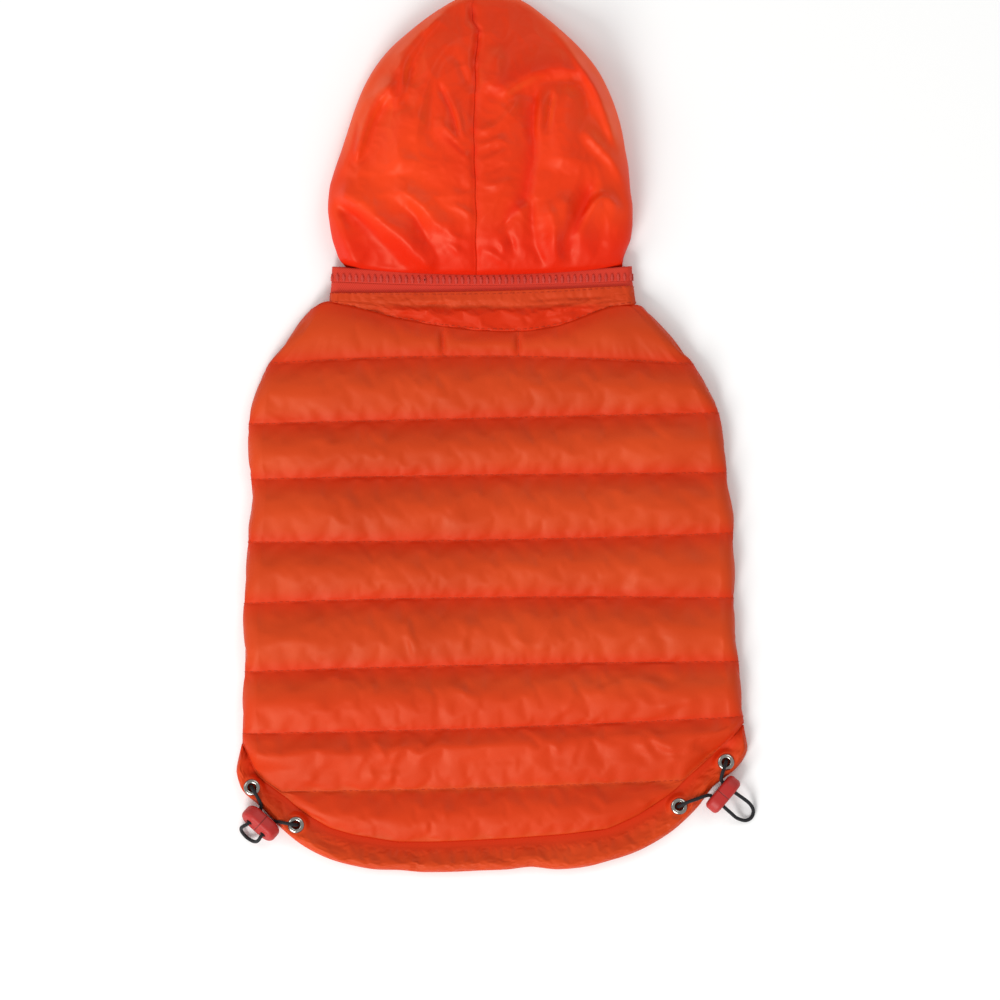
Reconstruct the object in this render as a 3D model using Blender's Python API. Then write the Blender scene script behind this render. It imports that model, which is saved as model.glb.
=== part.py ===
"""Quilted dog coat with a zipped hood, laid flat on a table with its back up.

Frame: metres, +X to the coat's left as it lies seen from above, +Y towards the hood,
+Z up, the table at z = 0 and the origin under the middle of the coat.
All named sizes below are millimetres.
"""
import math

import bmesh
import bpy
import numpy as np
from mathutils import Matrix, Vector

MM = 0.001
SEAM_GAP = 0.3              # between pieces that are sewn together

# Layers, from the table up
UNDER_WALL = 4.4            # padded cloth of the underside
UPPER_FLOOR = 5.2           # the back's plain inner face lies just over the underside
BACK_WALL = 2.6             # padded cloth at a quilting seam
SIDE_WALL = 3.6             # the back's cloth where it folds round the side
FOLD_WIDTH = 8.0            # how far in from the outline a side fold is round
MARGIN = 30.0               # the back panel reaches this far under each side
MARGIN_YS = (63.0, 50.0, 34.5, 12.0, -23.4, -85.5, -155.0)  # its edge there is straight between these
CENTRE_X = -2.0             # where the quilting seams' middle heights are given
SIDE_ANGLES = (-90.0, -45.0, 0.0, 45.0)     # steps round a folded side, from under it to its top

# Outline of the body, hood end first
BODY_OUTLINE = (            # (y, left_x, right_x)
    (63.2, -86.2, 73.8),
    (61.2, -90.2, 76.8),
    (51.2, -99.2, 85.8),
    (41.2, -106.8, 95.2),
    (31.2, -114.2, 102.8),
    (21.2, -118.2, 108.4),
    (11.2, -121.3, 113.0),
    (-2.0, -122.4, 115.4),
    (-13.8, -122.2, 116.8),
    (-23.8, -120.8, 117.4),
    (-33.8, -120.2, 119.4),
    (-43.8, -121.9, 120.8),
    (-54.4, -122.4, 120.4),
    (-68.8, -123.4, 121.3),
    (-84.0, -124.2, 120.7),
    (-94.0, -125.0, 121.3),
    (-104.0, -124.4, 121.9),
    (-116.0, -123.7, 123.4),
    (-128.8, -125.0, 124.5),
    (-139.0, -125.4, 124.9),
    (-143.5, -124.9, 125.9),
    (-155.0, -125.2, 126.0),
)

# Quilting seams across the back
QUILT_SEAMS = (             # (left_y, centre_y, right_y)
    (34.5, 38.2, 34.2),
    (4.2, 7.2, 9.8),
    (-23.4, -21.2, -20.2),
    (-54.8, -53.8, -50.2),
    (-85.5, -82.4, -82.8),
    (-119.8, -116.2, -114.6),
    (-150.6, -147.8, -142.0),
)
LAST_SEAM = ((-102.8, -179.8), (-2.0, -177.9), (89.8, -174.3))  # a chord that ends on the hem seam
LAST_SEAM_GAP = 1.0         # the last channel's height where the chord has met the hem seam
CREST = (3.6, 5.4, 5.8, 6.0, 5.8, 6.0, 5.8, 5.6, 5.0)           # filling over the seams, a channel each
FULL_CHANNEL = 27.0         # a channel narrower than this holds less filling
NARROW_POWER = 0.8          # how fast a channel flattens as it narrows
CHANNEL_POWER = 0.7         # a channel's section, fuller than a half sine
SIDE_CREST = 0.8            # share of the filling at the side folds
SIDE_CREST_RUN = 24.0       # how far in from the outline it is full
CHANNEL_ROWS = (0.0, 0.1, 0.28, 0.5, 0.72, 0.9)
TOP_COLUMNS = (-70.0, -48.0, -27.6, -24.8, -22.0, -5.0, 10.2, 13.0, 15.8, 36.0, 58.0)
OUTER_COLUMNS = (0.25, 0.5, 0.75)       # from the last top column out to the fold
LEASH_SEAMS = ((-24.8, 2.0), (13.0, 2.0))   # (x, half_width) of two short seams under the collar
LEASH_SEAM_DEPTH = 0.85     # share of the filling that they press down
BACK_INNER_STEP = 3         # the plain inside needs only each third row,
BACK_TAIL_ROWS = 13         # but each row where it comes down at the tail

# Neck
NECK_Y = 50.8               # the neck seam's lowest point
NECK_RISE = 13.0            # how far its ends lie nearer the hood
NECK_MIDDLE_X = -5.5
NECK_HALF = 81.0
NECK_UNDER_Y = 61.9         # the neck edge on the underside

# Bands between the neck seam and the hood: their edges, as lines over the top
BAND_EDGES = {              # name: (left_x, right_x, left_y, centre_y, right_y)
    "neck": (-81.8, 71.8, 63.0, 51.1, 63.1),
    "crease": (-81.6, 71.3, 66.0, 62.6, 66.4),
    "tape_low": (-81.2, 70.4, 69.8, 70.6, 73.4),
    "tape_high": (-80.6, 70.0, 78.0, 74.4, 78.4),
    "chain_high": (-80.3, 69.8, 83.0, 78.6, 83.2),
}
COLLAR_TOP, COLLAR_WALL = 9.0, 3.4
COLLAR_SWELL = 3.2          # the gathered crescent under the collar's crease
COLLAR_FULL = 11.0          # the crescent's height where it is fullest
COLLAR_CREASE_DEPTH, COLLAR_CREASE_WIDTH = 1.4, 1.6
COLLAR_ROWS = 9
COLLAR_PLEATS = (           # (x, width, depth) gathers that run up from the neck seam
    (-58.0, 5.0, 0.9),
    (-38.0, 6.0, 0.8),
    (-15.0, 7.0, 0.7),
    (4.0, 6.0, 0.9),
    (27.0, 5.0, 1.1),
    (44.0, 5.0, 0.9),
)
TAPE_TOP, TAPE_WALL = 7.8, 1.5
CHAIN_TOP, CHAIN_WALL = 8.8, 2.4
ZIP_END_LEFT, ZIP_END_RIGHT = -44.0, 28.0   # where the zip ends on the underside
BAND_COLUMNS = 15           # over the top of each band

# Hood
HOOD_OUTLINE = (            # (y, left_x, right_x, crown_z, side_z)
    (83.6, -74.0, 65.2, 11.5, 4.6),
    (86.5, -76.6, 65.4, 15.0, 5.4),
    (91.2, -78.4, 67.0, 19.0, 6.2),
    (97.0, -80.2, 69.2, 22.0, 7.2),
    (104.0, -81.4, 70.0, 24.6, 8.0),
    (112.0, -82.3, 70.1, 26.4, 8.6),
    (121.2, -81.6, 68.9, 27.6, 9.0),
    (131.2, -78.9, 68.1, 28.2, 9.0),
    (141.2, -75.4, 66.4, 28.2, 9.0),
    (151.2, -72.2, 64.6, 27.8, 9.0),
    (161.2, -68.9, 61.8, 27.0, 8.8),
    (171.2, -65.0, 57.9, 25.8, 8.4),
    (181.2, -59.6, 52.6, 24.0, 8.0),
    (191.2, -51.9, 44.7, 21.4, 7.2),
    (201.2, -40.9, 34.4, 17.8, 6.2),
    (208.6, -31.4, 25.6, 14.6, 5.2),
    (214.6, -22.2, 17.6, 11.6, 4.4),
    (218.2, -15.4, 10.6, 9.0, 3.6),
    (220.2, -11.4, 4.0, 6.4, 3.0),
)
HOOD_WALL = 1.6
HOOD_SEAM_X = -8.0
HOOD_ROUNDNESS = 2.4        # superellipse power of the dome's section
HOOD_UNDER_ROUND = 9.0      # how far in from the outline the hood's lower edge is round
HOOD_UNDER_SHARE = 0.45     # and at most this share of its half width, towards the tip
HOOD_UNDER_COLUMNS = (0.0, 0.35, 0.7)
HOOD_SIDE_ANGLES = (-90.0, -60.0, -30.0)
HOOD_TOP_COLUMNS = 19
HOOD_LEVEL_ROWS = 4         # the wall's inside is level with its outside at the neck, over these rows,
HOOD_EDGE_SHARE = 0.6       # where it starts at this share of its thickness
HOOD_SOLID_ROWS = 2         # at the tip the cloth folds so tightly that no hollow is left
HOOD_ZIP_RUN = 24.0         # the hood's rows follow the zip's dip this far up,
HOOD_DIP_SIDE = 9.0         # from this far in from its sides
FACE_HALF = 36.0            # half the face opening's width
FACE_STRAIGHT_Y, FACE_TOP_Y = 128.0, 199.0
HOOD_FOLD_END = 9.0         # each fold fades out over this far, either way from its ends
HOOD_FOLD_SIDE = 10.0       # no fold starts nearer the outline than this
HOOD_FOLD_CROWN = (9.0, 18.0)   # crown heights between which the folds grow
HOOD_FOLDS = (              # (x0, y0, x1, y1, bow, width, height) ridges and troughs
    (-80.0, 121.0, -29.0, 82.0, 5.0, 5.0, 3.2),
    (-77.0, 116.0, -43.0, 82.0, 1.0, 5.0, -3.2),
    (-48.0, 121.0, -18.0, 97.0, 1.0, 4.5, 2.4),
    (-50.0, 115.0, -27.0, 82.0, 4.0, 4.5, -2.4),
    (-25.0, 208.0, -46.0, 165.0, -3.0, 4.5, 1.8),
    (-58.0, 158.0, -73.0, 122.0, 1.0, 5.0, 1.8),
    (18.0, 171.0, 18.0, 128.0, 1.0, 6.0, -3.0),
    (14.0, 117.0, 3.0, 98.0, 0.0, 5.0, -2.2),
    (4.0, 168.0, 40.0, 181.0, 4.0, 5.5, 2.0),
    (40.0, 181.0, 66.0, 134.0, 3.5, 5.0, 2.0),
    (33.0, 164.0, 31.0, 130.0, 1.0, 7.0, 2.2),
    (26.0, 112.0, 33.0, 87.0, 1.0, 4.5, 2.2),
    (47.0, 119.0, 38.0, 86.0, 1.0, 4.5, -2.6),
    (41.0, 93.0, 56.0, 116.0, 3.0, 4.5, 2.0),
    (19.0, 114.0, 24.0, 86.0, -2.0, 4.0, -1.8),
)

# Casing round the rear hem: the seam it is sewn on by, and its free edge
HEM_CASING = (              # (seam_x, seam_y, edge_x, edge_y)
    (-124.7, -155.5, -127.9, -157.2),
    (-121.8, -162.4, -128.7, -165.6),
    (-119.4, -169.0, -127.7, -173.4),
    (-116.5, -173.4, -124.6, -180.2),
    (-110.8, -177.6, -117.8, -185.0),
    (-105.0, -181.4, -111.2, -188.8),
    (-97.4, -187.6, -105.6, -197.6),
    (-91.8, -192.2, -98.4, -204.6),
    (-84.0, -196.8, -89.0, -210.4),
    (-76.4, -199.8, -79.0, -214.6),
    (-66.0, -202.0, -68.0, -217.3),
    (-57.0, -203.5, -57.5, -219.0),
    (-45.5, -205.0, -46.5, -219.1),
    (-35.0, -205.0, -35.5, -220.25),
    (-20.0, -204.6, -20.0, -220.1),
    (-6.0, -203.9, -6.0, -219.4),
    (8.0, -203.2, 8.0, -218.9),
    (20.0, -202.3, 19.5, -217.4),
    (31.0, -201.5, 31.5, -218.9),
    (44.0, -200.4, 46.0, -217.7),
    (54.0, -199.4, 58.0, -214.6),
    (64.0, -196.0, 70.0, -210.9),
    (74.0, -190.9, 81.5, -205.2),
    (82.0, -186.3, 90.6, -199.2),
    (89.8, -180.0, 98.2, -192.4),
    (97.0, -173.2, 104.2, -186.0),
    (105.8, -165.4, 110.6, -177.0),
    (113.5, -158.7, 118.4, -171.4),
    (119.5, -152.9, 125.4, -164.4),
    (123.2, -148.5, 128.6, -155.8),
    (125.6, -145.0, 128.3, -148.8),
)
CASING_STATIONS = 61
CASING_SECTION = (          # (share of the way from seam to edge, z over the floor)
    (0.0, 2.8),
    (0.12, 4.9),
    (0.35, 6.4),
    (0.62, 6.4),
    (0.85, 5.0),
    (0.97, 3.4),
    (1.0, 2.2),
    (0.95, 0.7),
    (0.86, 0.0),
    (0.0, 0.0),
)
TAIL_DROP = (-172.0, -160.0)    # y at the left and right outline where the tail is down on the table
TAIL_DROP_RUN = 12.0
TAIL_HALF = 125.0

# Underside
BELLY_REAR = (-137.0, -127.0)   # left and right y of the seam to the belly casing
BELLY_CASING_WIDTH = 14.0
LEG_NOTCH = (40.0, -12.0, 30.0)     # (front_y, rear_y, depth) of each leg opening
LEG_NOTCH_POINTS = 11
LEG_NOTCH_POWER = 0.7       # fuller than a half sine

# Eyelets and drawcords
EYELETS = (                 # (name, station of HEM_CASING, share from seam to edge)
    ("eyelet_left_upper", 3.1, 0.52),
    ("eyelet_left_lower", 6.55, 0.52),
    ("eyelet_right_upper", 27.1, 0.52),
    ("eyelet_right_lower", 23.9, 0.5),
)
EYELET_RADIUS, EYELET_HOLE, EYELET_BARREL = 4.2, 2.0, 2.6
EYELET_RISE, EYELET_DEPTH = 0.7, 1.8
EYELET_SINK = 0.5           # the flange presses this far into the cloth
EYELET_SEAT_TOP = 12.0      # the cut over each eyelet is open to this far over its seat
EYELET_HOLE_UNDER = 1.6     # and its hole goes this far under the barrel
CORD = 1.8
CORD_SPACING = 2.6
ROUTE_STEPS = 12            # between two stops of a cord's route, before it is spaced evenly
CORD_IN_EYELET = (          # (towards the next stop, over the eyelet's seat): slanting up through the hole
    (-0.7, -1.4),
    (0.5, 0.6),
    (2.0, 1.9),
)
LOCK_LENGTH, LOCK_BREADTH, LOCK_DEPTH = 20.5, 12.0, 7.5
LOCK_HOLE, LOCK_HOLE_SPACING = 1.3, 9.0     # a hole's radius, and between the two holes
LOCK_SIDES = 20
LOCK_LAYERS = (             # (share of half the depth, scale of the outline there)
    (-1.0, 0.62),
    (-0.82, 0.86),
    (-0.4, 1.0),
    (0.4, 1.0),
    (0.82, 0.86),
    (1.0, 0.62),
)
LOCKS = {                   # name: (centre, long_axis_angle, tilt) tilt turns the holes up from level
    "cord_lock_left": ((-116.0, -195.4, 6.7), -42.0, 25.0),
    "cord_lock_right": ((115.4, -181.0, 6.3), 50.0, 0.0),
}
# Each drawcord's stops beside its lock: (along the lock, out from the coat, z)
CORD_IN = {                 # from the upper eyelet to the lock
    "left": ((-9.6, -8.6, 8.0), (-6.6, -7.2, 6.9), (-4.8, -5.4, 5.2)),
    "right": ((8.4, -7.4, 8.3), (5.8, -6.1, 7.3), (4.6, -4.9, 6.5)),
}
CORD_LOOP = {               # the loop that hangs out of the lock
    "left": ((-4.7, 5.0, 8.4), (-5.4, 6.9, 7.4), (-5.6, 8.3, 5.2), (-4.3, 9.6, 2.6), (-0.9, 10.3, 1.4),
             (2.5, 9.8, 2.4), (4.4, 8.6, 5.0), (4.9, 7.0, 7.4), (4.6, 5.0, 8.4)),
    "right": ((4.6, 5.6, 6.2), (4.9, 9.5, 5.0), (4.9, 13.5, 2.9), (3.5, 17.0, 1.5), (0.2, 18.6, 1.2),
              (-3.0, 17.2, 1.3), (-4.7, 13.2, 2.7), (-4.7, 9.3, 4.7), (-4.6, 5.6, 6.1)),
}
CORD_OUT = {                # from the lock to the lower eyelet
    "left": ((4.7, -5.0, 5.0), (6.3, -6.6, 6.7), (8.9, -8.2, 8.0)),
    "right": ((-4.7, -4.9, 6.5), (-6.2, -6.3, 7.5), (-10.0, -8.6, 8.3), (-14.0, -11.0, 8.5)),
}


def through(xs, ys):
    """A smooth curve through points whose xs rise, without overshoot between them."""
    xs = [float(x) for x in xs]
    ys = [float(y) for y in ys]
    chords = [(ys[i + 1] - ys[i]) / (xs[i + 1] - xs[i]) for i in range(len(xs) - 1)]
    slopes = [chords[0]]
    for before, after in zip(chords, chords[1:]):
        level = before * after <= 0.0
        slopes.append(0.0 if level else 2.0 * before * after / (before + after))
    slopes.append(chords[-1])

    def value(x):
        x = min(max(x, xs[0]), xs[-1])
        i = min(max(int(np.searchsorted(xs, x)) - 1, 0), len(xs) - 2)
        run = xs[i + 1] - xs[i]
        t = (x - xs[i]) / run
        start = (1 + 2 * t) * (1 - t) ** 2 * ys[i] + t * (1 - t) ** 2 * run * slopes[i]
        end = t * t * (3 - 2 * t) * ys[i + 1] + t * t * (t - 1) * run * slopes[i + 1]
        return start + end

    return value


def column_curves(table, key=0):
    """One smooth curve for each column of a table, read by its key column."""
    rows = sorted(table, key=lambda row: row[key])
    keys = [row[key] for row in rows]
    return [through(keys, [row[i] for row in rows]) for i in range(len(rows[0]))]


def parabola(points):
    """The parabola y(x) through three points."""
    xs, ys = zip(*points)
    a, b, c = np.polyfit(xs, ys, 2)
    return lambda x: a * x * x + b * x + c


def lerp(a, b, t):
    return a + (b - a) * t


def smoothstep(t):
    t = min(max(t, 0.0), 1.0)
    return t * t * (3.0 - 2.0 * t)


def bump(distance, width):
    """A soft ridge's share of its height at a distance from its middle."""
    return math.exp(-(distance / width) ** 2)


def material(name, colour, roughness, metallic=0.0):
    made = bpy.data.materials.new(name)
    made.use_nodes = True
    shader = made.node_tree.nodes["Principled BSDF"]
    shader.inputs["Base Color"].default_value = (*colour, 1.0)
    shader.inputs["Roughness"].default_value = roughness
    shader.inputs["Metallic"].default_value = metallic
    made.diffuse_color = (*colour, 1.0)
    return made


def add_object(name, points, faces, surface, smooth_angle=50.0):
    """An object from points in millimetres and faces that turn outwards."""
    mesh = bpy.data.meshes.new(name)
    mesh.from_pydata([Vector(p) * MM for p in points], [], faces)
    mesh.validate()
    mesh.shade_smooth()
    mesh.set_sharp_from_angle(angle=math.radians(smooth_angle))
    mesh.materials.append(surface)
    made = bpy.data.objects.new(name, mesh)
    bpy.context.scene.collection.objects.link(made)
    return made


def rim(outer, inner, picks):
    """Triangles from an outer line of points to the sparser inner line, whose points face picks."""
    faces = []
    for k in range(len(inner) - 1):
        first, last = picks[k], picks[k + 1]
        middle = (first + last + 1) // 2
        for i in range(first, middle):
            faces.append((outer[i], outer[i + 1], inner[k]))
        faces.append((outer[middle], inner[k + 1], inner[k]))
        for i in range(middle, last):
            faces.append((outer[i], outer[i + 1], inner[k + 1]))
    return faces


def wall(name, outer, inner, row_picks, column_picks, surface, closed=False):
    """A closed cloth wall: a grid of outer points, a sparser grid inside it, and rims round the edges.

    Rows run along the coat and columns round it. A closed wall's columns meet as a ring.
    """
    rows, columns = len(outer), len(outer[0])
    points = [p for row in outer for p in row]
    base = len(points)
    points += [p for row in inner for p in row]
    width = len(inner[0])
    out = [[i * columns + j for j in range(columns)] for i in range(rows)]
    into = [[base + i * width + j for j in range(width)] for i in range(len(inner))]
    if closed:
        out = [line + [line[0]] for line in out]
        into = [line + [line[0]] for line in into]
        column_picks = list(column_picks) + [columns]
    faces = []
    for i in range(rows - 1):
        for j in range(len(out[0]) - 1):
            faces.append((out[i][j], out[i + 1][j], out[i + 1][j + 1], out[i][j + 1]))
    for i in range(len(into) - 1):
        for j in range(len(into[0]) - 1):
            faces.append((into[i][j], into[i][j + 1], into[i + 1][j + 1], into[i + 1][j]))
    faces += rim(out[0], into[0], column_picks)
    faces += [face[::-1] for face in rim(out[-1], into[-1], column_picks)]
    if not closed:
        left_out, left_in = [line[0] for line in out], [line[0] for line in into]
        right_out, right_in = [line[-1] for line in out], [line[-1] for line in into]
        faces += [face[::-1] for face in rim(left_out, left_in, row_picks)]
        faces += rim(right_out, right_in, row_picks)
    made = add_object(name, points, faces, surface)
    face_outwards(made)
    return made


def face_outwards(made):
    """Turns a closed mesh's faces out and cuts its quads, so that what is drawn is what is built."""
    work = bmesh.new()
    work.from_mesh(made.data)
    bmesh.ops.triangulate(work, faces=work.faces, quad_method="SHORT_EDGE")
    bmesh.ops.recalc_face_normals(work, faces=work.faces)
    if work.calc_volume(signed=True) < 0.0:
        bmesh.ops.reverse_faces(work, faces=work.faces)
    work.to_mesh(made.data)
    work.free()


def every(count, step):
    """Each step-th index below count, with the last one."""
    picks = list(range(0, count - 1, step))
    if count - 1 - picks[-1] < step / 2 and len(picks) > 1:
        picks.pop()
    return picks + [count - 1]


def margin_edge(edge, side):
    """The inner edge of the back panel's margin under one side, x over y. side is 1 at the right."""
    ys = sorted(MARGIN_YS)
    xs = [edge(y) - side * MARGIN for y in ys]
    return lambda y: float(np.interp(y, ys, xs))


def tail_floor(x, y):
    """Height of the back's inner face: over the underside, and down on the table at the tail."""
    down = lerp(TAIL_DROP[0], TAIL_DROP[1], 0.5 * (x / TAIL_HALF + 1.0))
    return UPPER_FLOOR * smoothstep((y - down) / TAIL_DROP_RUN)


def hem_seam():
    """The hem seam's y over x, as the casing's table gives it."""
    return through([row[0] for row in HEM_CASING], [row[1] for row in HEM_CASING])


def back_lines(left_edge, right_edge):
    """The neck edge, the quilting seams and the hem seam.

    Each is (left_x, right_x, its y over x, left_y, right_y).
    """
    def neck(x):
        return NECK_Y - SEAM_GAP + NECK_RISE * ((x - NECK_MIDDLE_X) / NECK_HALF) ** 2

    top_left, top_right = BODY_OUTLINE[0][1:]
    lines = [(top_left, top_right, neck, NECK_UNDER_Y, NECK_UNDER_Y)]
    for left_y, centre_y, right_y in QUILT_SEAMS:
        left, right = left_edge(left_y), right_edge(right_y)
        curve = parabola(((left, left_y), (CENTRE_X, centre_y), (right, right_y)))
        lines.append((left, right, curve, left_y, right_y))
    hem = hem_seam()
    hem_left, hem_right = HEM_CASING[0][1] + SEAM_GAP, HEM_CASING[-1][1] + SEAM_GAP
    chord = parabola(LAST_SEAM)
    left, right = HEM_CASING[0][0], HEM_CASING[-1][0]

    def last_seam(x):
        return max(chord(x), hem(x) + LAST_SEAM_GAP)

    lines.append((left, right, last_seam, hem_left + LAST_SEAM_GAP, hem_right + LAST_SEAM_GAP))
    lines.append((left, right, hem, hem_left, hem_right))
    return lines


def fold_section(left, sign, x_in):
    """Under a side and round its fold, from the margin's inner edge to the top.

    Each point is (outer x, outer z, inner x, inner z, share of the top's height, over), where over
    says that the point lies on the top side. sign is 1 at the left side and -1 at the right.
    """
    section = []
    round_x = left + sign * FOLD_WIDTH
    for t in (0.0, 0.5):
        x = lerp(x_in, round_x, t)
        section.append((x, 0.0, x, UNDER_WALL, 0.0, False))
    for angle in (-90.0, -45.0, 0.0, 40.0, 70.0):
        a = math.radians(angle)
        x = left + sign * FOLD_WIDTH * (1.0 - math.cos(a))
        inner_x = left + sign * (SIDE_WALL + (FOLD_WIDTH - SIDE_WALL) * (1.0 - math.cos(a)))
        inner_z = lerp(UNDER_WALL, UPPER_FLOOR, (angle + 90.0) / 180.0)
        middle = 0.5 * (UPPER_FLOOR + BACK_WALL)
        z = middle * (1.0 + math.sin(a))
        section.append((x, z, inner_x, inner_z, max(math.sin(a), 0.0), angle > 0.0))
    return section


def groove(x):
    """How much of the filling is left beside the two short seams under the collar."""
    left = 1.0
    for seam_x, half in LEASH_SEAMS:
        left *= 1.0 - LEASH_SEAM_DEPTH * bump(x - seam_x, half)
    return left


def back_panel(surface):
    left_edge, right_edge = column_curves(BODY_OUTLINE)[1:]
    lines = back_lines(left_edge, right_edge)
    outer, inner = [], []
    for channel in range(len(lines) - 1):
        last = channel == len(lines) - 2
        for f in CHANNEL_ROWS + ((1.0,) if last else ()):
            row = back_row(lines[channel], lines[channel + 1], f, channel, left_edge, right_edge)
            outer.append(row[0])
            inner.append(row[1])
    level = len(outer) - BACK_TAIL_ROWS
    rows = [i for i in range(len(outer)) if i % BACK_INNER_STEP == 0 or i > level]
    return wall("back_panel", outer, [inner[i] for i in rows], rows, range(len(outer[0])), surface)


def back_row(above, below, f, channel, left_edge, right_edge):
    """One row of the back panel, a share f of the way down a channel."""
    left_y, right_y = lerp(above[3], below[3], f), lerp(above[4], below[4], f)
    left = left_edge(left_y) if f else above[0]
    right = right_edge(right_y) if f else above[1]
    crest = CREST[channel] * math.sin(math.pi * f) ** CHANNEL_POWER

    def row_y(x):
        return lerp(above[2](x), below[2](x), f)

    def swell(x):
        height = above[2](x) - below[2](x)
        full = min(height / FULL_CHANNEL, 1.0) ** NARROW_POWER
        return crest * full * (groove(x) if channel == 0 else 1.0)

    def folded(edge, sign, x_in, edge_y):
        points = []
        for x, z, inner_x, inner_z, share, over in fold_section(edge, sign, x_in):
            y = row_y(x) if over else edge_y
            lowered = UPPER_FLOOR - tail_floor(x, y) if over else 0.0
            outer_z = z - lowered + swell(x) * share * SIDE_CREST
            points.append(((x, y, outer_z), (inner_x, y, inner_z - lowered)))
        return points

    under_left = folded(left, 1.0, margin_edge(left_edge, -1)(left_y), left_y)
    under_right = folded(right, -1.0, margin_edge(right_edge, 1)(right_y), right_y)
    first, final = TOP_COLUMNS[0], TOP_COLUMNS[-1]
    top = [lerp(left + FOLD_WIDTH, first, t) for t in (0.0,) + OUTER_COLUMNS]
    top += list(TOP_COLUMNS)
    top += [lerp(right - FOLD_WIDTH, final, t) for t in reversed((0.0,) + OUTER_COLUMNS)]
    over_top = []
    for x in top:
        y = row_y(x)
        floor = tail_floor(x, y)
        side = min(x - left, right - x) / SIDE_CREST_RUN
        rise = swell(x) * lerp(SIDE_CREST, 1.0, smoothstep(side))
        over_top.append(((x, y, floor + BACK_WALL + rise), (x, y, floor)))
    row = under_left + over_top + under_right[::-1]
    return [p[0] for p in row], [p[1] for p in row]


def band(name, lower, upper, top_z, thickness, surface, swell=None, ring=False, rows=2):
    """A flattened band between two of BAND_EDGES, a whole ring or open on the underside."""
    low, high = BAND_EDGES[lower], BAND_EDGES[upper]
    outer, inner = [], []
    for i in range(rows + 1):
        f = i / rows
        inset = SEAM_GAP / 2.0 * (1.0 - 2.0 * f)
        left, right = lerp(low[0], high[0], f), lerp(low[1], high[1], f)
        left_y, right_y = lerp(low[2], high[2], f) + inset, lerp(low[4], high[4], f) + inset
        curves = []
        for edge in (low, high):
            curves.append(parabola(((edge[0], edge[2]), (NECK_MIDDLE_X, edge[3]), (edge[1], edge[4]))))

        def row_y(x):
            return lerp(curves[0](x), curves[1](x), f) + inset

        radius = top_z / 2.0
        section = []
        for angle in SIDE_ANGLES:
            a = math.radians(angle)
            section.append((1.0 - math.cos(a), math.sin(a), angle > 0.0))
        middle_x = lerp(left, right, 0.5)
        ends = (middle_x, middle_x) if ring else (ZIP_END_LEFT, ZIP_END_RIGHT)
        left_side, right_side = [], []
        for side, edge, edge_y, end, sign in (
            (left_side, left, left_y, ends[0], 1.0),
            (right_side, right, right_y, ends[1], -1.0),
        ):
            steps = 4 if ring else 2
            for t in [k / steps for k in range(steps)]:
                x = lerp(end, edge + sign * radius, t)
                y = lerp(0.5 * (left_y + right_y), edge_y, abs(x - middle_x) / abs(edge - middle_x))
                side.append(((x, y, 0.0), (x, y, thickness)))
            for across, up, over in section:
                x = edge + sign * radius * across
                inner_x = edge + sign * (thickness + (radius - thickness) * across)
                y = row_y(x) if over else edge_y
                side.append(((x, y, radius * (1.0 + up)), (inner_x, y, radius + (radius - thickness) * up)))
        top = []
        for k in range(BAND_COLUMNS):
            x = lerp(left + radius, right - radius, k / (BAND_COLUMNS - 1.0))
            rise = swell(x, row_y(x), f) if swell else 0.0
            top.append(((x, row_y(x), top_z + rise), (x, row_y(x), top_z - thickness)))
        tail = right_side[::-1]
        if ring:
            tail = tail[:-1]
        row = left_side + top + tail
        outer.append([p[0] for p in row])
        inner.append([p[1] for p in row])
    outer.reverse()
    inner.reverse()
    rows_picked = every(len(outer), 1 if rows <= 2 else 2)
    first, after = len(left_side), len(left_side) + BAND_COLUMNS
    picks = [j for j in range(len(outer[0])) if j < first or j >= after or (j - first) % 2 == 0]
    thin = [[inner[i][j] for j in picks] for i in rows_picked]
    return wall(name, outer, thin, rows_picked, picks, surface, closed=ring)


def collar_swell(x, y, f):
    """The collar's cloth bags out in a crescent between the neck seam and the crease."""
    low, crease, high = (BAND_EDGES[name] for name in ("neck", "crease", "tape_low"))
    lines = [parabola(((e[0], e[2]), (NECK_MIDDLE_X, e[3]), (e[1], e[4]))) for e in (low, crease, high)]
    neck_y, crease_y = lines[0](x), lines[1](x)
    height = max(crease_y - neck_y, 0.1)
    share = min(max((y - neck_y) / height, 0.0), 1.0)
    crescent = math.sin(math.pi * share) * min(height / COLLAR_FULL, 1.0)
    gather = 0.0
    for middle, width, depth in COLLAR_PLEATS:
        gather += depth * bump(x - middle, width) * (1.0 - 0.5 * share)
    crease = COLLAR_CREASE_DEPTH * bump(y - crease_y, COLLAR_CREASE_WIDTH)
    return crescent * (COLLAR_SWELL - gather) - crease


def hood_fold(x, y):
    """Height that the hood's folds add at a place on its top."""
    rise = 0.0
    for x0, y0, x1, y1, bow, width, height in HOOD_FOLDS:
        run = Vector((x1 - x0, y1 - y0))
        length = run.length
        along = run / length
        across = Vector((-along.y, along.x))
        offset = Vector((x - x0, y - y0))
        way = offset.dot(along)
        t = way / length
        distance = offset.dot(across) - bow * 4.0 * t * (1.0 - t)
        start = smoothstep(0.5 + 0.5 * way / HOOD_FOLD_END)
        end = smoothstep(0.5 + 0.5 * (length - way) / HOOD_FOLD_END)
        rise += height * bump(distance, width) * start * end
    return rise


def zip_dip(x, y):
    """How far a row near the hood's lower edge dips with the zip, over the top."""
    left_x, right_x, left_y, centre_y, right_y = BAND_EDGES["chain_high"]
    line = parabola(((left_x, left_y), (NECK_MIDDLE_X, centre_y), (right_x, right_y)))
    lowest = HOOD_OUTLINE[0][0]
    dip = lowest - line(x) - 1.5 * SEAM_GAP
    return max(dip, 0.0) * (1.0 - smoothstep((y - lowest) / HOOD_ZIP_RUN))


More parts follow.
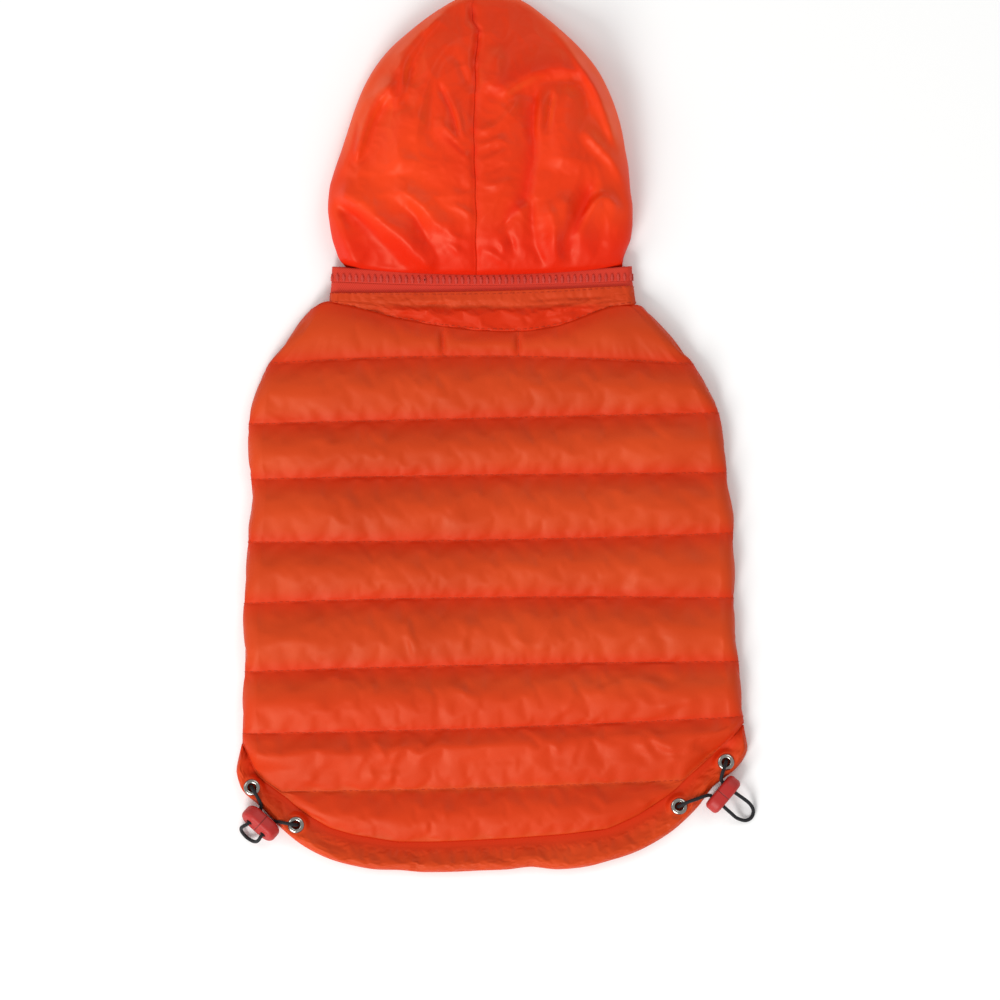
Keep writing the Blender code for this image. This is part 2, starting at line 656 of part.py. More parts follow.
def hood_row(y, side):
    """Half a row of the hood: from the face opening's edge, round the side, to the centre seam."""
    left, right, crown, waist = (curve(y) for curve in column_curves(HOOD_OUTLINE)[1:])
    edge = left if side < 0 else right
    seam = HOOD_SEAM_X + side * SEAM_GAP / 2.0
    round_part = max(y - FACE_STRAIGHT_Y, 0.0) / (FACE_TOP_Y - FACE_STRAIGHT_Y)
    face = FACE_HALF * math.sqrt(max(1.0 - round_part ** 2, 0.0))
    inner_end = HOOD_SEAM_X + side * max(face, SEAM_GAP / 2.0)
    half = abs(edge - seam)
    under_round = min(HOOD_UNDER_ROUND, half * HOOD_UNDER_SHARE)
    start = edge - side * under_round
    row = []
    for t in HOOD_UNDER_COLUMNS:
        row.append((lerp(inner_end, start, t), y, 0.0))
    for angle in HOOD_SIDE_ANGLES:
        a = math.radians(angle)
        row.append((edge - side * under_round * (1.0 - math.cos(a)), y, waist * (1.0 + math.sin(a))))
    low_crown, high_crown = HOOD_FOLD_CROWN
    grown = smoothstep((crown - low_crown) / (high_crown - low_crown))
    for k in range(HOOD_TOP_COLUMNS):
        a = 0.5 * math.pi * k / (HOOD_TOP_COLUMNS - 1)
        t = math.cos(a)
        z = waist + (crown - waist) * (1.0 - t ** HOOD_ROUNDNESS) ** (1.0 / HOOD_ROUNDNESS)
        x = seam + side * half * t
        fade = smoothstep((half - abs(x - seam)) / HOOD_FOLD_SIDE) * grown
        dip = zip_dip(x, y) * smoothstep((half - abs(x - seam)) / HOOD_DIP_SIDE)
        row.append((x, y - dip, z + hood_fold(x, y) * fade))
    return row


def offset_inwards(grid, depth, side):
    """Each grid point moved in from the surface by depth."""
    rows, columns = len(grid), len(grid[0])
    moved = []
    for i in range(rows):
        line = []
        for j in range(columns):
            along = Vector(grid[min(i + 1, rows - 1)][j]) - Vector(grid[max(i - 1, 0)][j])
            across = Vector(grid[i][min(j + 1, columns - 1)]) - Vector(grid[i][max(j - 1, 0)])
            normal = across.cross(along) * side
            normal.normalize()
            level = min(i / HOOD_LEVEL_ROWS, 1.0)
            point = Vector(grid[i][j]) + normal * depth * lerp(HOOD_EDGE_SHARE, 1.0, level)
            point.y = lerp(grid[i][j][1], point.y, level)
            if j == 0 or j == columns - 1:
                point.x = grid[i][j][0]
            line.append(tuple(point))
        moved.append(line)
    return moved


def hood_half(name, side, surface):
    ys = []
    for before, after in zip(HOOD_OUTLINE, HOOD_OUTLINE[1:]):
        wide = after[0] - before[0] > 8.0
        ys += [before[0], lerp(before[0], after[0], 0.5)] if wide else [before[0]]
    ys.append(HOOD_OUTLINE[-1][0])
    outer = [hood_row(y, side) for y in ys]
    inner = offset_inwards(outer, HOOD_WALL, side)
    sources = list(range(len(ys) - HOOD_SOLID_ROWS))
    picks = sources[:-1] + [len(ys) - 1]
    columns = list(range(len(outer[0])))
    thin = [[inner[i][j] for j in columns] for i in sources]
    return wall(name, outer, thin, picks, columns, surface)


def casing_curves():
    stations = list(range(len(HEM_CASING)))
    return [through(stations, [row[i] for row in HEM_CASING]) for i in range(4)]


def casing_point(curves, station, share, z):
    """A place on the casing: its share from the seam, clear of it, to the free edge."""
    seam = Vector((curves[0](station), curves[1](station)))
    edge = Vector((curves[2](station), curves[3](station)))
    seam += (edge - seam).normalized() * 1.5 * SEAM_GAP
    place = seam.lerp(edge, share)
    floor = tail_floor(seam.x, seam.y) * (1.0 - share) if z > 0.0 else 0.0
    return (place.x, place.y, z + floor)


def casing_top(curves, station, share):
    """The casing's upper surface at a place."""
    over = CASING_SECTION[:7]
    z = through([row[0] for row in over], [row[1] for row in over])(share)
    return casing_point(curves, station, share, z)


def hem_casing(surface):
    curves = casing_curves()
    count = CASING_STATIONS
    points, faces = [], []
    across = len(CASING_SECTION)
    for i in range(count):
        station = (len(HEM_CASING) - 1) * i / (count - 1)
        points += [casing_point(curves, station, share, z) for share, z in CASING_SECTION]
    for i in range(count - 1):
        for j in range(across):
            k = (j + 1) % across
            faces.append((i * across + j, i * across + k, (i + 1) * across + k, (i + 1) * across + j))
    faces.append(tuple(range(across)))
    faces.append(tuple(reversed(range((count - 1) * across, count * across))))
    made = add_object("hem_casing", points, faces, surface)
    face_outwards(made)
    return made


def turned(name, profile, surface, segments=16):
    """A closed ring turned about Z from (radius, z) points."""
    points, faces = [], []
    count = len(profile)
    for i in range(segments):
        a = math.tau * i / segments
        points += [(r * math.cos(a), r * math.sin(a), z) for r, z in profile]
    for i in range(segments):
        n = (i + 1) % segments
        for j in range(count):
            k = (j + 1) % count
            faces.append((i * count + j, n * count + j, n * count + k, i * count + k))
    made = add_object(name, points, faces, surface)
    face_outwards(made)
    return made


def cylinder(name, radius, low, high, segments=16):
    """A closed cylinder about Z, used to cut."""
    points = []
    for z in (low, high):
        for i in range(segments):
            a = math.tau * (i + 0.5) / segments
            points.append((radius * math.cos(a), radius * math.sin(a), z))
    faces = [tuple(reversed(range(segments))), tuple(range(segments, 2 * segments))]
    for i in range(segments):
        n = (i + 1) % segments
        faces.append((i, n, n + segments, i + segments))
    made = add_object(name, points, faces, None)
    made.hide_render = True
    made.display_type = "WIRE"
    return made


def cut(target, cutter):
    boolean = target.modifiers.new(cutter.name, "BOOLEAN")
    boolean.object = cutter
    boolean.operation = "DIFFERENCE"


def eyelets(casing, surface):
    """Metal eyelets pressed into the casing, each with its own seat cut in the cloth."""
    curves = casing_curves()
    flange, hole, barrel = EYELET_RADIUS, EYELET_HOLE, EYELET_BARREL
    profile = (
        (hole, -EYELET_DEPTH),
        (barrel, -EYELET_DEPTH),
        (barrel, 0.0),
        (flange, 0.0),
        (flange - 0.3, 0.6 * EYELET_RISE),
        (lerp(flange, hole, 0.5), EYELET_RISE),
        (hole + 0.3, 0.6 * EYELET_RISE),
        (hole, 0.0),
    )
    seats = {}
    for name, station, share in EYELETS:
        x, y, z = casing_top(curves, station, share)
        seat = z - EYELET_SINK
        seats[name] = Vector((x, y, seat))
        place = Matrix.Translation(Vector((x, y, seat)) * MM)
        ring = turned(name, profile, surface)
        ring.matrix_world = place
        gap = SEAM_GAP
        for part_name, radius, low, high in (
            (name + "_seat", flange + gap, -gap, EYELET_SEAT_TOP),
            (name + "_hole", barrel + gap, -EYELET_DEPTH - EYELET_HOLE_UNDER, EYELET_RISE),
        ):
            cutter = cylinder(part_name, radius, low, high)
            cutter.matrix_world = place
            cut(casing, cutter)
    return seats


def belly_panel(surface):
    """The flat panel under the belly, sewn between the back's two margins, with a notch for each leg."""
    left_edge, right_edge = column_curves(BODY_OUTLINE)[1:]
    front, rear, depth = LEG_NOTCH
    outline = []
    for side, edge, rear_y in ((1, right_edge, BELLY_REAR[1]), (-1, left_edge, BELLY_REAR[0])):
        margin = margin_edge(edge, side)
        front_ys = [NECK_UNDER_Y - SEAM_GAP] + [y for y in MARGIN_YS if front < y < NECK_UNDER_Y]
        rear_ys = [y for y in MARGIN_YS if rear_y < y < rear] + [rear_y + SEAM_GAP]
        line = [(margin(y), y) for y in front_ys]
        for i in range(LEG_NOTCH_POINTS):
            t = math.pi * i / (LEG_NOTCH_POINTS - 1)
            y = lerp(front, rear, 0.5 * (1.0 - math.cos(t)))
            line.append((margin(y) - side * depth * math.sin(t) ** LEG_NOTCH_POWER, y))
        line += [(margin(y), y) for y in rear_ys]
        line = [(x - side * 1.5 * SEAM_GAP, y) for x, y in line]
        outline += line if side > 0 else line[::-1]
    return slab("belly_panel", outline, UNDER_WALL, surface)


def belly_casing(surface):
    """The casing that carries the belly panel's rear hem."""
    left_edge, right_edge = column_curves(BODY_OUTLINE)[1:]
    outline = []
    for width, order in ((0.0, (1, -1)), (BELLY_CASING_WIDTH, (-1, 1))):
        for side in order:
            edge, y = (right_edge, BELLY_REAR[1]) if side > 0 else (left_edge, BELLY_REAR[0])
            x = margin_edge(edge, side)(y - width) - side * 1.5 * SEAM_GAP
            outline.append((x, y - width))
    return slab("belly_casing", outline, UNDER_WALL, surface)


def slab(name, outline, height, surface):
    count = len(outline)
    points = [(x, y, 0.0) for x, y in outline] + [(x, y, height) for x, y in outline]
    faces = [tuple(range(count)), tuple(reversed(range(count, 2 * count)))]
    for i in range(count):
        n = (i + 1) % count
        faces.append((i, i + count, n + count, n))
    made = add_object(name, points, faces, surface)
    face_outwards(made)
    return made


def lock_frame(centre, angle, tilt):
    """A cord lock's place: X along its length, Y the way the cord goes through, Z across its breadth."""
    turn = Matrix.Rotation(math.radians(angle), 4, "Z") @ Matrix.Rotation(math.radians(-tilt), 4, "X")
    return Matrix.Translation(Vector(centre)) @ turn


def cord_lock(name, surface):
    """A two-hole bean stopper: round-ended, with both edges of its faces rounded."""
    centre, angle, tilt = LOCKS[name]
    frame = lock_frame(centre, angle, tilt)
    around, points, faces = LOCK_SIDES, [], []
    layers = LOCK_LAYERS
    straight = (LOCK_LENGTH - LOCK_BREADTH) / 2.0
    for depth, scale in layers:
        for i in range(around):
            a = math.tau * (i + 0.5) / around
            radius = LOCK_BREADTH / 2.0 * scale
            x = radius * math.cos(a) + math.copysign(straight, math.cos(a))
            points.append((x, depth * LOCK_DEPTH / 2.0, radius * math.sin(a)))
    for layer in range(len(layers) - 1):
        for i in range(around):
            n = (i + 1) % around
            low, high = layer * around, (layer + 1) * around
            faces.append((low + i, low + n, high + n, high + i))
    faces.append(tuple(reversed(range(around))))
    faces.append(tuple(range((len(layers) - 1) * around, len(layers) * around)))
    made = add_object(name, points, faces, surface)
    face_outwards(made)
    world = Matrix.Translation(frame.translation * MM) @ frame.to_3x3().to_4x4()
    made.matrix_world = world
    for side in (-1, 1):
        cutter = cylinder(f"{name}_hole_{side + 2}", LOCK_HOLE, -LOCK_DEPTH, LOCK_DEPTH, segments=12)
        turn = Matrix.Rotation(math.radians(90.0), 4, "X")
        shift = Matrix.Translation(Vector((side * LOCK_HOLE_SPACING / 2.0, 0.0, 0.0)) * MM)
        cutter.matrix_world = world @ shift @ turn
        cut(made, cutter)
    return made


def smooth_route(stops, spacing):
    """Points a spacing apart on a Catmull-Rom curve through the stops."""
    dense = []
    for i in range(len(stops) - 1):
        p0 = Vector(stops[max(i - 1, 0)])
        p1, p2 = Vector(stops[i]), Vector(stops[i + 1])
        p3 = Vector(stops[min(i + 2, len(stops) - 1)])
        for k in range(ROUTE_STEPS):
            t = k / ROUTE_STEPS
            point = 2.0 * p1 + (p2 - p0) * t
            point += (2.0 * p0 - 5.0 * p1 + 4.0 * p2 - p3) * t * t
            point += (3.0 * p1 - p0 - 3.0 * p2 + p3) * t ** 3
            dense.append(point * 0.5)
    dense.append(Vector(stops[-1]))
    total = sum((b - a).length for a, b in zip(dense, dense[1:]))
    count = max(int(round(total / spacing)), 2)
    step = total / count
    route, travelled, target = [dense[0]], 0.0, step
    for a, b in zip(dense, dense[1:]):
        length = (b - a).length
        while travelled + length >= target - 1e-9 and len(route) < count:
            route.append(a.lerp(b, (target - travelled) / length))
            target += step
        travelled += length
    route.append(dense[-1])
    return route


def drawcord(name, stops, surface):
    curve = bpy.data.curves.new(name, "CURVE")
    curve.dimensions = "3D"
    curve.bevel_depth = CORD / 2.0 * MM
    curve.bevel_resolution = 2
    curve.use_fill_caps = True
    spline = curve.splines.new("POLY")
    route = smooth_route(stops, CORD_SPACING)
    spline.points.add(len(route) - 1)
    for point, place in zip(spline.points, route):
        point.co = (*(place * MM), 1.0)
    curve.materials.append(surface)
    made = bpy.data.objects.new(name, curve)
    bpy.context.scene.collection.objects.link(made)
    return made


def drawcords(seats, surface):
    """Each drawcord comes out of one eyelet, through its lock, round a loop and back into the other."""
    for side in ("left", "right"):
        centre, angle, tilt = LOCKS[f"cord_lock_{side}"]
        frame = lock_frame(centre, angle, tilt)
        upper = seats[f"eyelet_{side}_upper"]
        lower = seats[f"eyelet_{side}_lower"]
        stops = drawcord_stops(side, frame, upper, lower)
        drawcord(f"drawcord_{side}", stops, surface)


def drawcord_stops(side, frame, upper, lower):
    """The route's points, from inside the upper eyelet to inside the lower one."""
    half, reach = LOCK_HOLE_SPACING / 2.0, LOCK_DEPTH / 2.0
    centre = frame.translation
    along = frame.to_3x3() @ Vector((1.0, 0.0, 0.0))
    out = Vector((along.y, -along.x, 0.0))
    first = -1.0 if side == "left" else 1.0

    def beside(stops):
        return [Vector((centre.x, centre.y, z)) + along * u + out * v for u, v, z in stops]

    def inside(end, places):
        return [frame @ Vector((end * half, place * reach, 0.0)) for place in places]

    def in_eyelet(seat, beyond):
        towards = ((beyond - seat) * Vector((1.0, 1.0, 0.0))).normalized()
        return [seat + towards * lean + Vector((0.0, 0.0, z)) for lean, z in CORD_IN_EYELET]

    stops = beside(CORD_IN[side]) + inside(first, (1.0, 0.0, -1.0))
    stops += beside(CORD_LOOP[side]) + inside(-first, (-1.0, 0.0, 1.0))
    stops += beside(CORD_OUT[side])
    return in_eyelet(upper, stops[0]) + stops + in_eyelet(lower, stops[-1])[::-1]


def build():
    for old in list(bpy.data.objects):
        bpy.data.objects.remove(old)
    shell = material("quilted_nylon", (0.64, 0.058, 0.018), 0.42)
    hood_cloth = material("hood_nylon", (0.78, 0.052, 0.014), 0.32)
    tape = material("zip_tape", (0.52, 0.035, 0.028), 0.7)
    moulded = material("moulded_zip", (0.56, 0.05, 0.05), 0.4)
    metal = material("nickel_plated_eyelet", (0.75, 0.74, 0.72), 0.25, 1.0)
    lock = material("moulded_cord_lock", (0.55, 0.03, 0.03), 0.45)
    elastic = material("elastic_cord", (0.012, 0.012, 0.014), 0.85)

    hood_half("hood_left", -1, hood_cloth)
    hood_half("hood_right", 1, hood_cloth)
    band("zip_chain", "tape_high", "chain_high", CHAIN_TOP, CHAIN_WALL, moulded)
    band("zip_tape", "tape_low", "tape_high", TAPE_TOP, TAPE_WALL, tape)
    band("collar", "neck", "tape_low", COLLAR_TOP, COLLAR_WALL, shell, collar_swell, True, COLLAR_ROWS)
    back_panel(shell)
    belly_panel(shell)
    belly_casing(shell)
    casing = hem_casing(shell)
    seats = eyelets(casing, metal)
    cord_lock("cord_lock_left", lock)
    cord_lock("cord_lock_right", lock)
    drawcords(seats, elastic)


build()
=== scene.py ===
import math

import bmesh
import bpy
import numpy as np
from mathutils import Matrix, Vector, noise


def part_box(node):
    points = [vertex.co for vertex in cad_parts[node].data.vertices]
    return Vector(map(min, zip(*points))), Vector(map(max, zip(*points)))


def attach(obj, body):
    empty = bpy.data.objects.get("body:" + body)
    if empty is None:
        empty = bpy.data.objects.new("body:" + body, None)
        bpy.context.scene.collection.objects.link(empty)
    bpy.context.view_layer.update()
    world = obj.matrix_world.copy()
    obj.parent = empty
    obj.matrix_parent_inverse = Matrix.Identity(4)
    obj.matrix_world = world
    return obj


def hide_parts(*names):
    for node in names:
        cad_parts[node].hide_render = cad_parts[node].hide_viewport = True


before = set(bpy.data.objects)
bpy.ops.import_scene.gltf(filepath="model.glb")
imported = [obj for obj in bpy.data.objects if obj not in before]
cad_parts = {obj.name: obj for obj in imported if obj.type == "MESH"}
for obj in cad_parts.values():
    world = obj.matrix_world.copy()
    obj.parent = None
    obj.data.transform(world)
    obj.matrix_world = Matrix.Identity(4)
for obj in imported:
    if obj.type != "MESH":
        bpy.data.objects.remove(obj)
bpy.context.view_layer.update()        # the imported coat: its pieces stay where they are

# A quilted dog coat with a zip-on hood, laid flat with its back up.
# Every size is in millimetres, in the frame's own axes: +Y to the hood, +Z up.
mm = 0.001
farSide = 1000.0                # beyond everything
readStep, readInset = 1.0, 0.05         # a node's edge is read each millimetre, just inside its ends
scene = bpy.context.scene
scene.view_settings.view_transform = "Standard"     # cloth colours come out as they are mixed


def lerp(a, b, t):
    return a + (b - a) * t


def smooth(t):
    t = np.clip(t, 0.0, 1.0)
    return t * t * (3.0 - 2.0 * t)


def bump(distance, width):
    return np.exp(-(np.asarray(distance) / width) ** 2)


def through(xs, ys):
    # a smooth curve through points whose xs rise, without overshoot between them
    xs, ys = np.array(xs, float), np.array(ys, float)
    chords = np.diff(ys) / np.diff(xs)
    slopes = np.concatenate(([chords[0]], np.zeros(len(xs) - 2), [chords[-1]]))
    for i in range(1, len(xs) - 1):
        before, after = chords[i - 1], chords[i]
        if before * after > 0.0:
            slopes[i] = 2.0 * before * after / (before + after)

    def value(x):
        x = np.clip(x, xs[0], xs[-1])
        i = np.clip(np.searchsorted(xs, x) - 1, 0, len(xs) - 2)
        run = xs[i + 1] - xs[i]
        t = (x - xs[i]) / run
        start = (1 + 2 * t) * (1 - t) ** 2 * ys[i] + t * (1 - t) ** 2 * run * slopes[i]
        end = t * t * (3 - 2 * t) * ys[i + 1] + t * t * (t - 1) * run * slopes[i + 1]
        return start + end

    return value


def parabola(points):
    xs, ys = zip(*points)
    return np.poly1d(np.polyfit(xs, ys, 2))


def grain(points, size, seed, stretch=(1.0, 1.0, 1.0)):
    # smooth noise from -1 to 1 at each point, with lumps of about this size
    scale = np.array(stretch) / size
    shift = Vector((seed * 17.3, seed * 5.1, seed * 9.7))
    flat = points.reshape(-1, 3) * scale
    values = [noise.noise(Vector(p) + shift) for p in flat]
    return np.array(values).reshape(points.shape[:-1])


def patchy(points, mean, uneven, size, seed):
    return mean + uneven * grain(points, size, seed)


def smoothLine(points, steps=6):
    # a Catmull-Rom curve through points, as a fine line
    p = np.array([points[0], *points, points[-1]], float)
    t = np.arange(steps)[:, None] / steps
    made = []
    for p0, p1, p2, p3 in zip(p, p[1:], p[2:], p[3:]):
        cubic = 2 * p1 + (p2 - p0) * t + (2 * p0 - 5 * p1 + 4 * p2 - p3) * t ** 2
        made.append((cubic + (3 * p1 - p0 - 3 * p2 + p3) * t ** 3) / 2.0)
    return np.concatenate(made + [p[-1:]])


def wayAlong(points):
    # how far along a line each of its points is
    return np.concatenate(([0.0], np.cumsum(np.linalg.norm(np.diff(points, axis=0), axis=1))))


def creaseField(x, y, creases, fadeRun=9.0, power=1.9):
    # height that soft creases add: rows of (points along it, width on its left, on its right, height)
    total = np.zeros(np.shape(x))
    for points, leftWidth, rightWidth, height in creases:
        line = smoothLine(points)
        nearest = np.full(np.shape(x), farSide)
        way, onLeft = np.zeros(np.shape(x)), np.zeros(np.shape(x), bool)
        travelled = 0.0
        for (ax, ay), (bx, by) in zip(line, line[1:]):
            run = math.hypot(bx - ax, by - ay)
            ux, uy = (bx - ax) / run, (by - ay) / run
            t = np.clip((x - ax) * ux + (y - ay) * uy, 0.0, run)
            dx, dy = x - ax - ux * t, y - ay - uy * t
            distance = np.hypot(dx, dy)
            closer = distance < nearest
            nearest = np.where(closer, distance, nearest)
            way = np.where(closer, travelled + t, way)
            onLeft = np.where(closer, ux * dy - uy * dx > 0.0, onLeft)
            travelled += run
        end = min(fadeRun, travelled / 2.2)         # a short crease still has a middle at full height
        fade = smooth(way / end) * smooth((travelled - way) / end)
        width = np.where(onLeft, leftWidth, rightWidth)
        total += height * np.exp(-(nearest / width) ** power) * fade
    return total


nodeArrays = {}


def nodeMesh(name):
    if name not in nodeArrays:
        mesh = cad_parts[name].data
        points = np.zeros(len(mesh.vertices) * 3)
        mesh.vertices.foreach_get("co", points)
        ends = np.zeros(len(mesh.edges) * 2, int)
        mesh.edges.foreach_get("vertices", ends)
        nodeArrays[name] = (points.reshape(-1, 3) / mm, ends.reshape(-1, 2))
    return nodeArrays[name]


def cutSpan(name, origin, direction):
    # from where to where a node reaches along a level line, seen from above
    points, ends = nodeMesh(name)
    ahead = np.array(direction, float)
    ahead /= np.linalg.norm(ahead)
    flat = points[:, :2] - np.array(origin)
    along = flat @ ahead
    beside = flat @ np.array((-ahead[1], ahead[0]))
    a, b = ends[:, 0], ends[:, 1]
    crossing = (beside[a] * beside[b] <= 0.0) & (beside[a] != beside[b])
    a, b = a[crossing], b[crossing]
    share = beside[a] / (beside[a] - beside[b])
    reach = along[a] + (along[b] - along[a]) * share
    reach = reach[reach > 0.0]
    return reach.min(), reach.max()


def softened(values, reach):
    # a column of evenly spaced values with its small steps smoothed away
    kernel = bump(np.arange(-2 * reach, 2 * reach + 1), reach)
    wide = np.pad(values, 2 * reach, mode="reflect", reflect_type="odd")
    return np.convolve(wide, kernel / kernel.sum(), "valid")


def sideEdges(name, low, high, soft=2):
    # a node's left and right edge, x over y
    ys = np.arange(low, high + readStep / 2.0, readStep)
    inside = np.clip(ys, low + readInset, high - readInset)
    spans = np.array([cutSpan(name, (-farSide, y), (1.0, 0.0)) for y in inside]) - farSide
    left, right = softened(spans[:, 0], soft), softened(spans[:, 1], soft)
    return (lambda y: np.interp(y, ys, left)), (lambda y: np.interp(y, ys, right))


def lowerEdge(name, low, high, soft=2):
    # a node's edge towards the tail, y over x
    xs = np.arange(low, high + readStep / 2.0, readStep)
    inside = np.clip(xs, low + readInset, high - readInset)
    ys = np.array([cutSpan(name, (x, -farSide), (0.0, 1.0))[0] for x in inside]) - farSide
    ys = softened(ys, soft)
    return lambda x: np.interp(x, xs, ys)


# A grid is rows from the hood to the tail, and columns from under the left side,
# over the top and down under the right side.

def gridNormals(grid, closed=False):
    along = np.gradient(grid, axis=0)
    if closed:
        across = np.roll(grid, -1, axis=1) - np.roll(grid, 1, axis=1)
    else:
        across = np.gradient(grid, axis=1)
    normals = np.cross(along, across)
    length = np.linalg.norm(normals, axis=2, keepdims=True)
    return normals / np.maximum(length, 1e-9)


def refine(grid, closed=False):
    # twice as many rows and columns, on a smooth surface through the same points
    for axis in (0, 1):
        g = np.moveaxis(grid, axis, 0)
        if closed and axis == 1:
            before, after, beyond = np.roll(g, 1, 0), np.roll(g, -1, 0), np.roll(g, -2, 0)
            middle = (9.0 * (g + after) - before - beyond) / 16.0
            made = np.stack((g, middle), 1).reshape(-1, *g.shape[1:])
        else:
            wide = np.concatenate((2 * g[:1] - g[1:2], g, 2 * g[-1:] - g[-2:-1]))
            middle = (9.0 * (wide[1:-2] + wide[2:-1]) - wide[:-3] - wide[3:]) / 16.0
            made = np.empty((2 * len(g) - 1, *g.shape[1:]))
            made[0::2], made[1::2] = g, middle
        grid = np.moveaxis(made, 0, axis)
    return grid


def gridUv(grid):
    # the cloth's own flat coordinates, in metres
    steps = np.linalg.norm(np.diff(grid, axis=1), axis=2)
    u = np.concatenate((np.zeros((len(grid), 1)), np.cumsum(steps, axis=1)), axis=1)
    u -= u[:, [grid.shape[1] // 2]]
    steps = np.linalg.norm(np.diff(grid, axis=0), axis=2).mean(axis=1)
    v = -np.concatenate(([0.0], np.cumsum(steps)))
    return np.stack((u, np.broadcast_to(v[:, None], u.shape)), axis=2) * mm


def picksOf(count, step):
    picks = list(range(0, count - 1, step))
    if count - 1 - picks[-1] < step / 2 and len(picks) > 1:
        picks.pop()
    return picks + [count - 1]


def rim(outer, inner, picks):
    # triangles from a line of points to the sparser line inside it, which faces the picks
    faces = []
    for k in range(len(inner) - 1):
        first, last = picks[k], picks[k + 1]
        middle = (first + last + 1) // 2
        faces += [(outer[i], outer[i + 1], inner[k]) for i in range(first, middle)]
        faces.append((outer[middle], inner[k + 1], inner[k]))
        faces += [(outer[i], outer[i + 1], inner[k + 1]) for i in range(middle, last)]
    return faces


def meshPiece(name, points, faces, material, uv=None):
    mesh = bpy.data.meshes.new(name)
    mesh.from_pydata((np.asarray(points) * mm).tolist(), [], faces)
    mesh.shade_smooth()
    if uv is not None:
        corners = np.zeros(len(mesh.loops), int)
        mesh.loops.foreach_get("vertex_index", corners)
        layer = mesh.uv_layers.new(name="clothUv")
        layer.data.foreach_set("uv", np.asarray(uv)[corners].astype(np.float32).ravel())
    if material:
        mesh.materials.append(material)
    piece = bpy.data.objects.new(name, mesh)
    scene.collection.objects.link(piece)
    return piece


def wallPiece(name, outer, inner, material, step=4, closed=False):
    # a closed cloth wall: the outer grid, a sparser grid inside it, and rims round the edges
    rows, columns = outer.shape[:2]
    rowPicks = picksOf(rows, step)
    columnPicks = list(range(0, columns, step)) if closed else picksOf(columns, step)
    inside = inner[np.ix_(rowPicks, columnPicks)]
    points = np.concatenate((outer.reshape(-1, 3), inside.reshape(-1, 3)))
    uv = gridUv(outer)
    uv = np.concatenate((uv.reshape(-1, 2), uv[np.ix_(rowPicks, columnPicks)].reshape(-1, 2)))
    out = np.arange(rows * columns).reshape(rows, columns)
    into = rows * columns + np.arange(len(rowPicks) * len(columnPicks))
    into = into.reshape(len(rowPicks), len(columnPicks))
    if closed:
        out, into = np.c_[out, out[:, 0]], np.c_[into, into[:, 0]]
        columnPicks = columnPicks + [columns]
    out, into = out.tolist(), into.tolist()
    faces = []
    for above, below in zip(out, out[1:]):
        faces += [(above[j], below[j], below[j + 1], above[j + 1]) for j in range(len(above) - 1)]
    for above, below in zip(into, into[1:]):
        faces += [(above[j], above[j + 1], below[j + 1], below[j]) for j in range(len(above) - 1)]
    faces += rim(out[0], into[0], columnPicks)
    faces += [face[::-1] for face in rim(out[-1], into[-1], columnPicks)]
    if not closed:
        left = rim([row[0] for row in out], [row[0] for row in into], rowPicks)
        faces += [face[::-1] for face in left]
        faces += rim([row[-1] for row in out], [row[-1] for row in into], rowPicks)
    return meshPiece(name, points, faces, material, uv)


def asMesh(piece):
    # the piece as its modifiers leave it, as a plain mesh
    evaluated = piece.evaluated_get(bpy.context.evaluated_depsgraph_get())
    mesh = bpy.data.meshes.new_from_object(evaluated)
    piece.modifiers.clear()
    piece.data = mesh
    return piece


def outwards(piece, merge=None, sharp=None):
    # every face turned outwards, once points this close are one; edges past an angle are sharp
    work = bmesh.new()
    work.from_mesh(piece.data)
    if merge:
        bmesh.ops.remove_doubles(work, verts=work.verts, dist=merge)
    bmesh.ops.recalc_face_normals(work, faces=work.faces)
    work.to_mesh(piece.data)
    work.free()
    if sharp:
        piece.data.shade_smooth()
        piece.data.set_sharp_from_angle(angle=math.radians(sharp))


def paintShading(piece, share):
    # how much painted shade each outer point gets in the cloth's colour, up to 1: it is below 0
    # where painted sheen makes it paler instead
    values = np.zeros(len(piece.data.vertices), np.float32)
    values[:share.size] = share.ravel()
    piece.data.attributes.new("paintedShading", "FLOAT", "POINT").data.foreach_set("value", values)


def wear(piece, slot, *nodes):
    # the piece rides on the coat and stands for these nodes
    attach(piece, "root")
    if nodes:
        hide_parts(*nodes)
    return piece


def linear(hexColour):
    channels = [int(hexColour[i:i + 2], 16) / 255.0 for i in (1, 3, 5)]
    made = [c / 12.92 if c <= 0.04045 else ((c + 0.055) / 1.055) ** 2.4 for c in channels]
    return (*made, 1.0)


def addNode(tree, kind, settings=None, links=None):
    # one node with its settings, and what is linked to its inputs
    node = tree.nodes.new(kind)
    for key, value in (settings or {}).items():
        if isinstance(key, int) or key in node.inputs:
            node.inputs[key].default_value = value
        else:
            setattr(node, key, value)
    for key, socket in (links or {}).items():
        tree.links.new(socket, node.inputs[key])
    return node


def newMaterial(name, **constants):
    material = bpy.data.materials.new(name)
    material.use_nodes = True
    tree = material.node_tree
    shader = tree.nodes["Principled BSDF"]
    for key, value in constants.items():
        shader.inputs[key.replace("_", " ")].default_value = value
    return material, tree, shader


def ramp(tree, source, stops):
    node = addNode(tree, "ShaderNodeValToRGB", links={"Fac": source})
    elements = node.color_ramp.elements
    while len(elements) < len(stops):
        elements.new(0.5)
    for element, (place, colour) in zip(elements, stops):
        element.position = place
        element.color = linear(colour) if isinstance(colour, str) else (colour,) * 3 + (1.0,)
    return node.outputs["Color"]


print("tools ready")


